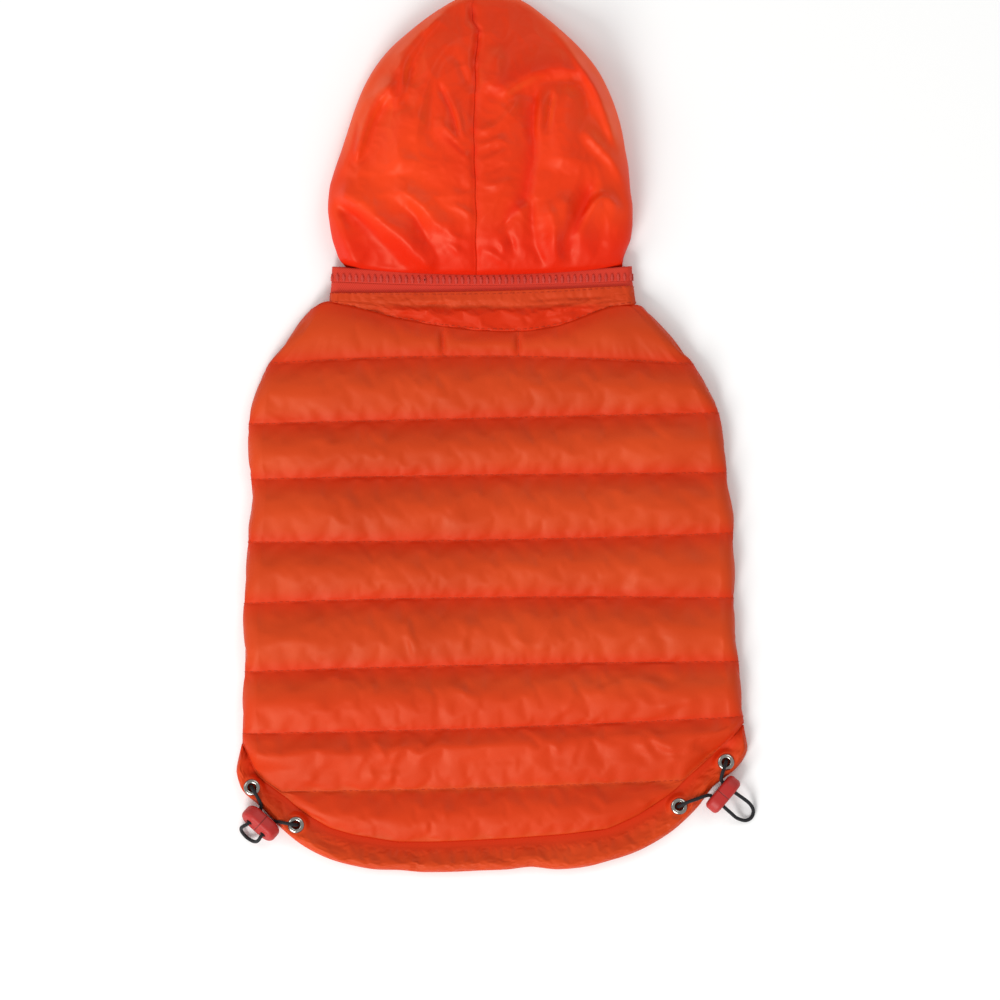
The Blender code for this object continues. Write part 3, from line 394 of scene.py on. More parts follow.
def wovenHeight(tree, pitch):
    # over and under threads in the cloth's own flat coordinates, from 0 to 1
    uv = addNode(tree, "ShaderNodeUVMap", {"uv_map": "clothUv"})
    parts = addNode(tree, "ShaderNodeSeparateXYZ", links={0: uv.outputs["UV"]})
    waves = []
    for axis in ("X", "Y"):
        turn = addNode(tree, "ShaderNodeMath", {"operation": "MULTIPLY", 1: 2.0 * math.pi / (pitch * mm)},
                       {0: parts.outputs[axis]})
        waves.append(addNode(tree, "ShaderNodeMath", {"operation": "SINE"}, {0: turn.outputs[0]}))
    both = addNode(tree, "ShaderNodeMath", {"operation": "MULTIPLY"},
                   {0: waves[0].outputs[0], 1: waves[1].outputs[0]})
    return addNode(tree, "ShaderNodeMath", {"operation": "MULTIPLY_ADD", 1: 0.5, 2: 0.5},
                   {0: both.outputs[0]}).outputs[0]


def noiseOf(tree, size, detail=2.0, distortion=0.0):
    # even noise whose lumps are about this many millimetres across
    place = addNode(tree, "ShaderNodeTexCoord")
    settings = {"Scale": 0.5 / (size * mm), "Detail": detail, "Distortion": distortion}
    return addNode(tree, "ShaderNodeTexNoise", settings, {"Vector": place.outputs["Object"]}).outputs["Fac"]


def unevenFinish(tree, shader, size, spread, smoothest, roughest):
    # roughness that changes in patches this many millimetres across
    settings = {"From Min": 0.5 - spread, "From Max": 0.5 + spread, "To Min": smoothest, "To Max": roughest}
    finish = addNode(tree, "ShaderNodeMapRange", settings, {"Value": noiseOf(tree, size)})
    tree.links.new(finish.outputs["Result"], shader.inputs["Roughness"])


def bumpInto(tree, shader, layers):
    # heights one upon the other: (height socket, distance in mm, strength)
    below = None
    for height, distance, strength in layers:
        links = {"Height": height}
        if below:
            links["Normal"] = below.outputs["Normal"]
        below = addNode(tree, "ShaderNodeBump", {"Distance": distance * mm, "Strength": strength}, links)
    tree.links.new(below.outputs["Normal"], shader.inputs["Normal"])


nylons = {                      # name: colours from worn to full, the painted shade of folds and seams, the painted sheen of steep slopes, and the finish
    "quiltedNylon": {"colours": ("#BE370E", "#C63C12", "#CC4116"), "folds": "#CC2A07",
                     "roughness": (0.46, 0.6), "specular": 0.33},
    "hoodNylon": {"colours": ("#DC2E07", "#E4340B", "#EA3B0F"), "folds": "#DA1A00",
                  "paintedSheen": "#F4622E", "roughness": (0.41, 0.54), "specular": 0.37},
    "collarNylon": {"colours": ("#BE3611", "#C63A15", "#CC3E19"), "folds": "#CE2300",
                    "roughness": (0.48, 0.62), "specular": 0.3},
}


def nylonCloth(name):
    # Down-proof nylon taffeta, calendered: tight threads, a soft satin sheen and fine puckers.
    look = nylons[name]
    material, tree, shader = newMaterial(
        name, IOR=1.45, Specular_IOR_Level=look["specular"], Specular_Tint=linear("#FFE4BC"))
    patches = noiseOf(tree, 24.0, 3.0)
    low, middle, high = look["colours"]
    colour = ramp(tree, patches, ((0.3, low), (0.5, middle), (0.7, high)))
    # painted shade: redder in the folds, standing in for light that goes from cloth to cloth
    share = addNode(tree, "ShaderNodeAttribute", {"attribute_name": "paintedShading"})
    mixed = addNode(tree, "ShaderNodeMix", {"data_type": "RGBA", 7: linear(look["folds"])},
                    {0: share.outputs["Fac"], 6: colour})
    if "paintedSheen" in look:        # painted sheen: paler on steep slopes, which is where the share is negative
        paintedSheen = addNode(tree, "ShaderNodeMath", {"operation": "MULTIPLY", 1: -1.0},
                         {0: share.outputs["Fac"]})
        mixed = addNode(tree, "ShaderNodeMix", {"data_type": "RGBA", 7: linear(look["paintedSheen"])},
                        {0: paintedSheen.outputs[0], 6: mixed.outputs[2]})
    tree.links.new(mixed.outputs[2], shader.inputs["Base Color"])
    unevenFinish(tree, shader, 7.0, 0.2, *look["roughness"])
    # the threads are 0.1 mm apart: drawn coarser, they show as a faint tooth close up
    bumpInto(tree, shader, (
        (noiseOf(tree, 5.0, 3.0, 0.4), 0.5, 0.35),
        (noiseOf(tree, 1.6, 2.0), 0.12, 0.3),
        (wovenHeight(tree, 0.6), 0.03, 0.35)))
    return material


def wovenTape():
    # Woven polyester zip tape: matt, ribbed along its length, darker than the nylon.
    material, tree, shader = newMaterial("wovenTape", Roughness=0.8, IOR=1.4, Sheen_Weight=0.04)
    pitch = 1.1                 # of the ribs, in mm
    colour = ramp(tree, wovenHeight(tree, pitch), ((0.2, "#C22B19"), (0.8, "#D43A23")))
    tree.links.new(colour, shader.inputs["Base Color"])
    bumpInto(tree, shader, ((noiseOf(tree, 4.0), 0.3, 0.3), (wovenHeight(tree, pitch), 0.12, 0.6)))
    return material


def mouldedTeeth():
    # Moulded acetal zip teeth in the cloth's colour: smooth, with small sharp highlights.
    material, tree, shader = newMaterial("mouldedTeeth", Roughness=0.5, IOR=1.45)
    colour = ramp(tree, noiseOf(tree, 6.0), ((0.35, "#BB3325"), (0.65, "#C53B2C")))
    tree.links.new(colour, shader.inputs["Base Color"])
    bumpInto(tree, shader, ((noiseOf(tree, 0.8), 0.05, 0.3),))
    return material


def nickelPlate():
    # Nickel-plated pressed brass: bright, slightly worn where fingers and cord rub it.
    material, tree, shader = newMaterial("nickelPlate", Metallic=1.0)
    shader.inputs["Base Color"].default_value = linear("#A5A19B")
    unevenFinish(tree, shader, 1.2, 0.15, 0.12, 0.3)
    bumpInto(tree, shader, ((noiseOf(tree, 0.9), 0.03, 0.25),))
    return material


def lockPlastic():
    # Injection-moulded stopper: satin plastic, and a fine parting gap across its middle.
    material, tree, shader = newMaterial("lockPlastic", Roughness=0.5, IOR=1.45)
    uv = addNode(tree, "ShaderNodeUVMap", {"uv_map": "clothUv"})
    along = addNode(tree, "ShaderNodeSeparateXYZ", links={0: uv.outputs["UV"]}).outputs["X"]
    away = addNode(tree, "ShaderNodeMath", {"operation": "ABSOLUTE"}, {0: along}).outputs[0]
    solid = addNode(tree, "ShaderNodeMapRange", {"From Min": 0.12 * mm, "From Max": 0.3 * mm},
                    {"Value": away}).outputs["Result"]
    colour = ramp(tree, solid, ((0.0, "#7A1712"), (1.0, "#AE201B")))
    tree.links.new(colour, shader.inputs["Base Color"])
    bumpInto(tree, shader, ((noiseOf(tree, 1.5), 0.05, 0.35), (solid, 0.2, 0.8)))
    return material


def sewingThread():
    # Spun polyester thread, a little darker than the cloth that it sinks into.
    material, tree, shader = newMaterial("sewingThread", Roughness=0.8, IOR=1.4)
    colour = ramp(tree, noiseOf(tree, 2.0), ((0.3, "#B4320E"), (0.7, "#C03912")))
    tree.links.new(colour, shader.inputs["Base Color"])
    bumpInto(tree, shader, ((noiseOf(tree, 0.4), 0.05, 0.6),))
    return material


nylon, hoodNylon, collarNylon = (nylonCloth(name) for name in nylons)
tapeCloth, teethPlastic, nickel = wovenTape(), mouldedTeeth(), nickelPlate()
stopperPlastic, thread = lockPlastic(), sewingThread()
print("materials ready")


view = {
    "across": 500.0,            # of the coat's plane, in the square frame
    "middle": (3.75, -33.75),
    "distance": 3000.0,
    "sensor": 36.0,
    "plane": 8.0,               # the height that the width is measured at
}


def addCamera():
    data = bpy.data.cameras.new("overheadCamera")
    data.sensor_width = view["sensor"]
    data.lens = view["sensor"] * view["distance"] / view["across"]
    camera = bpy.data.objects.new("overheadCamera", data)
    scene.collection.objects.link(camera)
    x, y = view["middle"]
    camera.location = Vector((x, y, view["distance"] + view["plane"])) * mm
    scene.camera = camera


lights = (                      # (name, place, side, watts)
    ("keySoftbox", (-700.0, -1500.0, 1150.0), 900.0, 30.0),
    ("fillSoftbox", (900.0, 1300.0, 1500.0), 1100.0, 9.0),
    ("sideSoftbox", (-1700.0, 500.0, 1300.0), 900.0, 7.0),
)
studio = {"skyColour": "#FFFFFF", "sky": 0.52, "floorSide": 6000.0, "floorColour": "#FAFAF9"}


def addLights():
    for name, place, side, watts in lights:
        data = bpy.data.lights.new(name, "AREA")
        data.size = side * mm
        data.energy = watts
        light = bpy.data.objects.new(name, data)
        light.location = Vector(place) * mm
        aim = Vector((0.0, 0.0, 0.0)) - light.location
        light.rotation_euler = aim.to_track_quat("-Z", "Y").to_euler()
        scene.collection.objects.link(light)
    world = bpy.data.worlds.new("studio")
    world.use_nodes = True
    sky = world.node_tree.nodes["Background"]
    sky.inputs["Color"].default_value = linear(studio["skyColour"])
    sky.inputs["Strength"].default_value = studio["sky"]
    scene.world = world


def addFloor():
    material, _, shader = newMaterial("paperBackdrop", Roughness=0.95)
    shader.inputs["Base Color"].default_value = linear(studio["floorColour"])
    half = studio["floorSide"] / 2.0
    corners = [(-half, -half, 0.0), (half, -half, 0.0), (half, half, 0.0), (-half, half, 0.0)]
    meshPiece("floor", corners, [(0, 1, 2, 3)], material)


addCamera()
addLights()
addFloor()
print("studio ready")


locks = {                       # side: centre, the long side's angle, and how far its holes tip up
    "left": {"centre": (-116.0, -195.4, 6.7), "angle": -42.0, "tilt": 25.0},
    "right": {"centre": (115.4, -181.0, 6.3), "angle": 50.0, "tilt": 0.0},
}
lockShape = {
    "length": 20.5, "breadth": 12.0, "depth": 7.5,
    "corner": 2.2, "cornerSteps": 7, "around": 96,
    "hole": 1.3, "holeSpacing": 9.0, "holeSides": 32,
    "holeRim": ((0.5, -0.1), (0.15, 0.25), (0.0, 0.7)),     # (how much wider, how far in from the face)
    "sharpFrom": 35.0,          # the angle from which an edge is sharp
}
drawcord = {
    "diameter": 1.8,
    "sides": 14,
    "ringSpacing": 0.7,
    "stopSteps": 12,
    # stops beside each lock: (along the lock, out from the coat, z)
    "in": {
        "left": ((-9.6, -8.6, 8.0), (-6.6, -7.2, 6.9), (-4.8, -5.4, 5.2)),
        "right": ((8.4, -7.4, 8.3), (5.8, -6.1, 7.3), (4.6, -4.9, 6.5)),
    },
    "loop": {
        "left": ((-4.7, 5.0, 8.4), (-5.4, 6.9, 7.4), (-5.6, 8.3, 5.2), (-4.3, 9.6, 2.6),
                 (-0.9, 10.3, 1.4), (2.5, 9.8, 2.4), (4.4, 8.6, 5.0), (4.9, 7.0, 7.4), (4.6, 5.0, 8.4)),
        "right": ((4.6, 5.6, 6.2), (4.9, 9.5, 5.0), (4.9, 13.5, 2.9), (3.5, 17.0, 1.5),
                  (0.2, 18.6, 1.2), (-3.0, 17.2, 1.3), (-4.7, 13.2, 2.7), (-4.7, 9.3, 4.7),
                  (-4.6, 5.6, 6.1)),
    },
    "out": {
        "left": ((4.7, -5.0, 5.0), (6.3, -6.6, 6.7), (8.9, -8.2, 8.0)),
        "right": ((-4.7, -4.9, 6.5), (-6.2, -6.3, 7.5), (-10.0, -8.6, 8.3), (-14.0, -11.0, 8.5)),
    },
    # in each eyelet: (towards the next stop, over the eyelet's seat)
    "inEyelet": ((-0.7, -1.4), (0.5, 0.6), (2.0, 1.9)),
}
eyeletShape = {
    "depth": 1.8, "segments": 64,
    "profile": (                # (radius, z over the seat): hole, rolled flange and barrel
        (2.0, -1.8), (2.0, 0.1), (2.14, 0.42), (2.45, 0.66), (2.9, 0.75), (3.4, 0.68), (3.8, 0.46),
        (4.08, 0.18), (4.2, -0.05), (4.08, -0.28), (3.8, -0.34), (2.8, -0.3), (2.6, -0.5), (2.6, -1.8),
    ),
}
eyelets = [(side, end) for side in locks for end in ("upper", "lower")]


def lockPlace(side):
    lock = locks[side]
    turn = Matrix.Rotation(math.radians(lock["angle"]), 4, "Z")
    tip = Matrix.Rotation(math.radians(-lock["tilt"]), 4, "X")
    return Matrix.Translation(Vector(lock["centre"])) @ turn @ tip


def eyeletSeat(side, end):
    low, high = (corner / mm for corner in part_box(f"eyelet_{side}_{end}"))
    return Vector(((low.x + high.x) / 2.0, (low.y + high.y) / 2.0, low.z + eyeletShape["depth"]))


def cordStops(side):
    # the route's points, from inside the upper eyelet to inside the lower one
    place = lockPlace(side)
    centre = place.translation
    along = place.to_3x3() @ Vector((1.0, 0.0, 0.0))
    out = Vector((along.y, -along.x, 0.0))
    half, reach = lockShape["holeSpacing"] / 2.0, lockShape["depth"] / 2.0
    first = -1.0 if side == "left" else 1.0
    upper, lower = eyeletSeat(side, "upper"), eyeletSeat(side, "lower")

    def beside(part):
        return [Vector((centre.x, centre.y, z)) + along * u + out * v for u, v, z in drawcord[part][side]]

    def inLock(end, shares):
        return [place @ Vector((end * half, share * reach, 0.0)) for share in shares]

    def inEyelet(seat, beyond):
        towards = ((beyond - seat) * Vector((1.0, 1.0, 0.0))).normalized()
        return [seat + towards * lean + Vector((0.0, 0.0, z)) for lean, z in drawcord["inEyelet"]]

    stops = beside("in") + inLock(first, (1.0, 0.0, -1.0))
    stops += beside("loop") + inLock(-first, (-1.0, 0.0, 1.0)) + beside("out")
    return inEyelet(upper, stops[0]) + stops + inEyelet(lower, stops[-1])[::-1]


def smoothRoute(stops, spacing, steps):
    # points this far apart on a smooth line through the stops
    dense = smoothLine(stops, steps)
    travelled = wayAlong(dense)
    marks = np.linspace(0.0, travelled[-1], int(round(travelled[-1] / spacing)) + 1)
    return np.stack([np.interp(marks, travelled, dense[:, k]) for k in range(3)], axis=1)


def tube(name, route, radius, sides, material):
    # a round cord along a route, closed at both ends, with u round it and v along it
    tangents = np.gradient(route, axis=0)
    tangents /= np.linalg.norm(tangents, axis=1, keepdims=True)
    side = np.cross(tangents[0], (0.0, 0.0, 1.0))
    angles = np.linspace(0.0, 2.0 * math.pi, sides + 1)
    points, uv = [], []
    for place, tangent, way in zip(route, tangents, wayAlong(route)):
        side = side - tangent * side.dot(tangent)       # carried along without twist
        side /= np.linalg.norm(side)
        up = np.cross(side, tangent)
        for angle in angles:
            points.append(place + radius * (side * math.cos(angle) + up * math.sin(angle)))
            uv.append((angle / (2.0 * math.pi), way * mm))
    ring, faces = sides + 1, []
    for i in range(len(route) - 1):
        for j in range(sides):
            a = i * ring + j
            faces.append((a, a + 1, a + ring + 1, a + ring))
    last = (len(route) - 1) * ring
    faces += [tuple(range(sides - 1, -1, -1)), tuple(last + j for j in range(sides))]
    piece = meshPiece(name, points, faces, material, uv)
    outwards(piece, merge=0.001 * mm)
    return piece


def braidedElastic():
    # Braided round elastic: matt black polyester, fine crossing strands that catch a little light.
    material, tree, shader = newMaterial(
        "braidedElastic", Roughness=0.72, IOR=1.4, Sheen_Weight=0.04, Sheen_Roughness=0.5)
    strands, pitch = 6.0, 2.2 * mm          # strands each way round, and one turn of each
    uv = addNode(tree, "ShaderNodeUVMap", {"uv_map": "clothUv"})
    parts = addNode(tree, "ShaderNodeSeparateXYZ", links={0: uv.outputs["UV"]})
    around = addNode(tree, "ShaderNodeMath", {"operation": "MULTIPLY", 1: strands * 2 * math.pi},
                     {0: parts.outputs["X"]})
    along = addNode(tree, "ShaderNodeMath", {"operation": "MULTIPLY", 1: 2 * math.pi / pitch},
                    {0: parts.outputs["Y"]})
    waves = []
    for way in ("ADD", "SUBTRACT"):
        total = addNode(tree, "ShaderNodeMath", {"operation": way},
                        {0: around.outputs[0], 1: along.outputs[0]})
        waves.append(addNode(tree, "ShaderNodeMath", {"operation": "SINE"}, {0: total.outputs[0]}))
    weave = addNode(tree, "ShaderNodeMath", {"operation": "MAXIMUM"},
                    {0: waves[0].outputs[0], 1: waves[1].outputs[0]})
    height = addNode(tree, "ShaderNodeMapRange", {1: -1.0, 2: 1.0}, {0: weave.outputs[0]}).outputs[0]
    colour = ramp(tree, height, ((0.0, "#050506"), (0.8, "#151518"), (1.0, "#202024")))
    tree.links.new(colour, shader.inputs["Base Color"])
    bumpInto(tree, shader, ((height, 0.12, 0.7),))
    return material


def addDrawcords():
    elastic = braidedElastic()
    made = {}
    radius = drawcord["diameter"] / 2.0
    for side in locks:
        route = smoothRoute(cordStops(side), drawcord["ringSpacing"], drawcord["stopSteps"])
        piece = tube(f"drawcord{side.title()}", route, radius, drawcord["sides"], elastic)
        wear(piece, "elastic_cord", f"drawcord_{side}")
        length = float(wayAlong(route)[-1])
        made[side] = (piece, route, length)
        print(f"drawcord {side}: {length:.1f} mm")
    return made


cords = addDrawcords()


def gridFaces(rows, columns, closed):
    ids = np.arange(rows * columns).reshape(rows, columns)
    if closed:
        ids = np.c_[ids, ids[:, 0]]
    corners = (ids[:-1, :-1], ids[1:, :-1], ids[1:, 1:], ids[:-1, 1:])
    return np.stack(corners, axis=2).reshape(-1, 4).tolist()


def shownColumns(grid, over):
    # the first of a grid's columns that shows from above this height, and the one past the last
    shows = grid[0, :, 2] > over
    return int(np.argmax(shows)), len(shows) - int(np.argmax(shows[::-1]))


def columnAt(grid, x, over):
    # the column that is nearest this x, of those that show from above
    away = np.where(grid[0, :, 2] > over, np.abs(grid[0, :, 0] - x), farSide)
    return int(np.argmin(away))


def settle(grid, pins, fabric, closed=False):
    # the cloth let go, and pushed out where it is filled: points with a pin of 1 stay where they are
    # sewn, lower pins draw the others back, and no point moves further than the reach
    rows, columns = grid.shape[:2]
    piece = meshPiece("swelling", grid.reshape(-1, 3), gridFaces(rows, columns, closed), None)
    sewn = piece.vertex_groups.new(name="sewn")
    flatPins = pins.ravel()
    for weight in np.unique(flatPins):
        sewn.add(np.flatnonzero(flatPins == weight).tolist(), float(weight), "REPLACE")
    cloth = piece.modifiers.new("settling", "CLOTH")
    settings = cloth.settings
    settings.quality = fabric["quality"]
    settings.mass = fabric["mass"]
    settings.tension_stiffness = settings.compression_stiffness = fabric["stretch"]
    settings.shear_stiffness = fabric["shear"]
    settings.bending_stiffness = fabric["bend"]
    settings.tension_damping = settings.compression_damping = fabric["damping"]
    settings.shear_damping = fabric["damping"]
    settings.air_damping = fabric["air"]
    settings.vertex_group_mass = "sewn"
    settings.pin_stiffness = 1.0
    settings.use_pressure = fabric["pressure"] > 0.0
    settings.uniform_pressure_force = fabric["pressure"]
    settings.shrink_min = -fabric["excess"]
    settings.effector_weights.gravity = 0.0
    cloth.collision_settings.use_collision = False
    cloth.point_cache.frame_start, cloth.point_cache.frame_end = 1, fabric["frames"]
    for step in range(1, fabric["frames"] + 1):
        scene.frame_set(step)
    evaluated = piece.evaluated_get(bpy.context.evaluated_depsgraph_get())
    places = np.zeros(rows * columns * 3)
    evaluated.data.vertices.foreach_get("co", places)
    scene.frame_set(1)
    bpy.data.objects.remove(piece)
    shift = places.reshape(grid.shape) / mm - grid
    length = np.linalg.norm(shift, axis=2, keepdims=True)
    print(f"  moved {np.percentile(length, 50):.2f} mm at the middle, {length.max():.2f} at most")
    return grid + shift * np.minimum(1.0, fabric["reach"] / np.maximum(length, 1e-9))


body = {
    "underWall": 4.4, "floor": 5.2, "wall": 2.6, "sideWall": 3.6,
    "fold": 8.0,                # how far in from the outline a side is round
    "foldAngles": (-90.0, 82.0),            # from the flat underside, up and over
    "margin": 30.0,             # the back reaches this far under each side
    "marginYs": (-155.0, -85.5, -23.4, 12.0, 34.5, 50.0, 63.0),
    "middleX": -2.0,
    "neckMiddle": -5.5,
    "neck": (                   # the neck seam
        (-100.0, 60.0), (-91.5, 60.8), (-89.0, 62.8), (-86.5, 65.0), (-83.5, 66.2), (-79.0, 65.4),
        (-71.0, 63.4), (-61.0, 60.9), (-51.0, 58.0), (-42.0, 56.1), (-26.8, 53.4), (-10.0, 51.2),
        (6.0, 50.6), (19.0, 50.9), (31.8, 53.0), (43.0, 56.8), (57.0, 62.6), (66.0, 64.5),
        (72.0, 64.4), (77.0, 62.4), (82.0, 61.2), (90.0, 60.6),
    ),
    "neckSteps": 400, "neckSoft": 8,        # its corners are rounded over this many of its steps
    "seamLap": 0.3,             # how far the collar laps over the back's edge
    "underY": 61.9,             # the neck edge on the underside
    "rear": ((-124.7, -155.2), (125.6, -144.7)),      # the hem seam's ends
    "rearInset": 0.2,           # the hem is read this far inside them
    "tailDown": (-172.0, -160.0), "tailRun": 12.0, "tailHalf": 125.0,   # where the tail comes down
}
quilting = {
    "seams": (                  # (left y, middle y, right y)
        (34.5, 38.2, 34.2),
        (4.2, 7.2, 9.8),
        (-23.4, -21.2, -20.2),
        (-54.8, -53.8, -50.2),
        (-85.5, -82.4, -82.8),
        (-119.8, -116.2, -114.6),
        (-150.6, -147.8, -142.0),
    ),
    "lastSeam": ((-102.8, -179.8), (-2.0, -177.9), (89.8, -174.3)),   # it ends on the hem seam
    "lastGap": 1.0,             # and stays this far over it
    "crest": (3.8, 5.4, 5.8, 6.0, 5.8, 6.0, 5.8, 5.6, 4.9),           # filling, a channel each
    "fullChannel": 27.0, "narrowPower": 0.8,        # a narrower channel is filled less
    "redAbove": 4.4, "redBelow": 6.5, "redShare": 0.8,     # painted shade, redder beside each seam
    "sideShare": 0.8, "sideRun": 24.0,      # less filling towards the sides
    # the two short upright seams under the collar, and the painted shade along them
    "leashSeams": (-24.8, 13.0), "leashHalf": 1.7, "leashDepth": 1.0, "leashRed": 1.3,
    "tailRed": 0.5, "tailFrom": -118.0, "tailRun": 24.0,    # painted shade: the cloth is redder towards the tail
    "rowSpacing": 2.0, "crowding": 0.5,     # rows lie closer together at the seams
    "columns": ((-70.0, -24.8, 23), (-24.8, 13.0, 19), (13.0, 58.0, 23)),
    "outerColumns": 16, "foldColumns": 12, "underColumns": 4, "heldColumns": 8, "innerStep": 8,
    "uneven": 0.25, "unevenSize": 9.0,      # before it is let go
    "creaseFade": 6.0, "seamRows": 4.0, "overRun": 2.0,     # creases fade out before seams and sides
}
backFilling = {                 # the cloth's settings as it is let go, and no point moves past the reach
    "pressure": 1.0, "excess": 0.004, "mass": 0.02, "stretch": 12.0, "shear": 4.0, "bend": 1.4,
    "damping": 5.0, "air": 1.0, "quality": 6, "frames": 22, "reach": 2.2,
}


backCreases = (                 # (points along it, width on its left, width on its right, height)
    (((-45, -91), (-41, -102), (-38, -114)), 3.0, 2.2, 0.8),
    (((-12, -91), (-14, -101), (-15, -111)), 2.6, 2.6, 0.7),
    (((-82, -90), (-88, -94), (-95, -99)), 2.4, 2.4, 0.6),
    (((-118, -114), (-106, -104), (-92, -105), (-74, -107)), 4.0, 4.0, 0.7),
    (((-28, -127), (-27, -135), (-27, -143)), 2.0, 2.6, -0.8),
    (((-25, -126), (-15, -129), (-4, -135)), 2.2, 2.8, 0.8),
    (((-62, -122), (-60, -127), (-58, -131)), 2.0, 2.0, 0.6),
    (((-61, -152), (-56, -158), (-52, -166)), 2.2, 2.2, 0.9),
    (((-43, -152), (-48, -160), (-51, -168)), 2.2, 2.2, 0.8),
    (((-51, -164), (-51, -171), (-52, -178)), 2.0, 2.0, 0.7),
    (((-63, -158), (-66, -165), (-69, -172)), 2.2, 2.2, 0.7),
    (((-64, -161), (-61, -169), (-59, -177)), 2.2, 2.2, 0.6),
    (((-71, -150), (-71, -157), (-70, -163)), 2.0, 2.0, -0.7),
    (((-40, -165), (-31, -158), (-22, -151)), 2.4, 2.4, 0.7),
    (((-94, -178), (-88, -168), (-82, -159)), 3.4, 3.4, 0.8),
    (((-23, -184), (-24, -190), (-24, -196)), 1.8, 1.8, 0.6),
    (((-33, -192), (-33, -197), (-33, -203)), 1.8, 1.8, 0.5),
    (((71, -64), (69, -71), (66, -78)), 2.2, 2.2, -0.7),
    (((32, -88), (28, -97), (23, -110)), 2.6, 2.6, 0.8),
    (((9, -99), (15, -105), (21, -111)), 2.2, 2.2, 0.7),
    (((76, -101), (70, -106), (64, -111)), 2.4, 2.4, -0.7),
    (((39, -122), (40, -130), (37, -137), (28, -143)), 2.6, 2.6, 0.8),
    (((49, -130), (58, -127), (66, -124)), 1.6, 3.0, 0.7),
    (((82, -139), (92, -135), (104, -132)), 2.6, 2.6, 0.8),
    (((73, -119), (84, -122), (96, -126)), 2.6, 2.6, -0.7),
    (((77, -146), (84, -155), (95, -158), (108, -160)), 2.4, 2.4, 0.9),
    (((72, -152), (77, -158), (83, -166)), 2.2, 2.2, 0.8),
    (((77, -152), (80, -156), (83, -161)), 1.6, 1.6, -0.8),
    (((88, -153), (90, -160), (92, -168)), 2.2, 2.2, 0.7),
    (((95, -168), (103, -161), (116, -159)), 2.4, 2.4, 0.8),
    (((30, -154), (32, -158), (34, -162)), 2.0, 2.0, 0.6),
    (((44, -152), (41, -159), (38, -167)), 2.2, 2.2, 0.7),
    (((11, -160), (12, -166), (12, -171)), 2.0, 2.0, 0.5),
    (((97, -177), (106, -171), (116, -166)), 2.4, 2.4, -0.8),
    (((71, -180), (75, -184), (80, -188)), 2.0, 2.0, 0.6),
    (((-39, 27), (-38, 24), (-36, 20)), 2.0, 2.0, 0.6),
    (((-27, 29), (-28, 23), (-29, 18)), 2.0, 2.0, 0.5),
    (((-57, -5), (-55, -10), (-52, -15)), 2.2, 2.2, 0.6),
    (((-24, -33), (-20, -38), (-16, -31)), 2.0, 2.0, 0.6),
)


def neckLine(x):
    # the neck seam, y over x, through its points
    xs, ys = np.array(body["neck"]).T
    fine = np.linspace(xs[0], xs[-1], body["neckSteps"])
    return np.interp(x, fine, softened(np.interp(fine, xs, ys), body["neckSoft"]))


def tailFloor(x, y):
    # the height of the back's inner face, down on the table at the tail
    down = lerp(*body["tailDown"], 0.5 * (x / body["tailHalf"] + 1.0))
    return body["floor"] * smooth((y - down) / body["tailRun"])


def backLines(leftEdge, rightEdge, hem):
    # the neck edge, the quilting seams and the hem seam: (left x, right x, y over x, left y, right y)
    def lastSeam(x):
        return np.maximum(chord(x), hem(x) + gap)

    topY = body["underY"]
    lines = [(leftEdge(topY), rightEdge(topY), neckLine, topY, topY)]
    for leftY, middleY, rightY in quilting["seams"]:
        left, right = leftEdge(leftY), rightEdge(rightY)
        curve = parabola(((left, leftY), (body["middleX"], middleY), (right, rightY)))
        lines.append((left, right, curve, leftY, rightY))
    chord, gap = parabola(quilting["lastSeam"]), quilting["lastGap"]
    (left, leftY), (right, rightY) = body["rear"]
    lines.append((left, right, lastSeam, leftY + gap, rightY + gap))
    lines.append((left, right, hem, leftY, rightY))
    return lines


def foldSection(edge, sign, marginX):
    # from the margin's inner edge round the fold: x, z, inner x, inner z, share of the filling, over
    t = np.linspace(0.0, 1.0, quilting["underColumns"], endpoint=False)
    under = lerp(marginX, edge + sign * body["fold"], t)
    a = np.radians(np.linspace(*body["foldAngles"], quilting["foldColumns"]))
    side, middle = body["sideWall"], 0.5 * (body["floor"] + body["wall"])
    x = np.concatenate((under, edge + sign * body["fold"] * (1.0 - np.cos(a))))
    z = np.concatenate((0.0 * under, middle * (1.0 + np.sin(a))))
    innerX = edge + sign * (side + (body["fold"] - side) * (1.0 - np.cos(a)))
    innerZ = lerp(body["underWall"], body["floor"], a / math.pi + 0.5)
    innerX = np.concatenate((under, innerX))
    innerZ = np.concatenate((0.0 * under + body["underWall"], innerZ))
    share = np.concatenate((0.0 * under, np.maximum(np.sin(a), 0.0)))
    return x, z, innerX, innerZ, share, share > 0.0


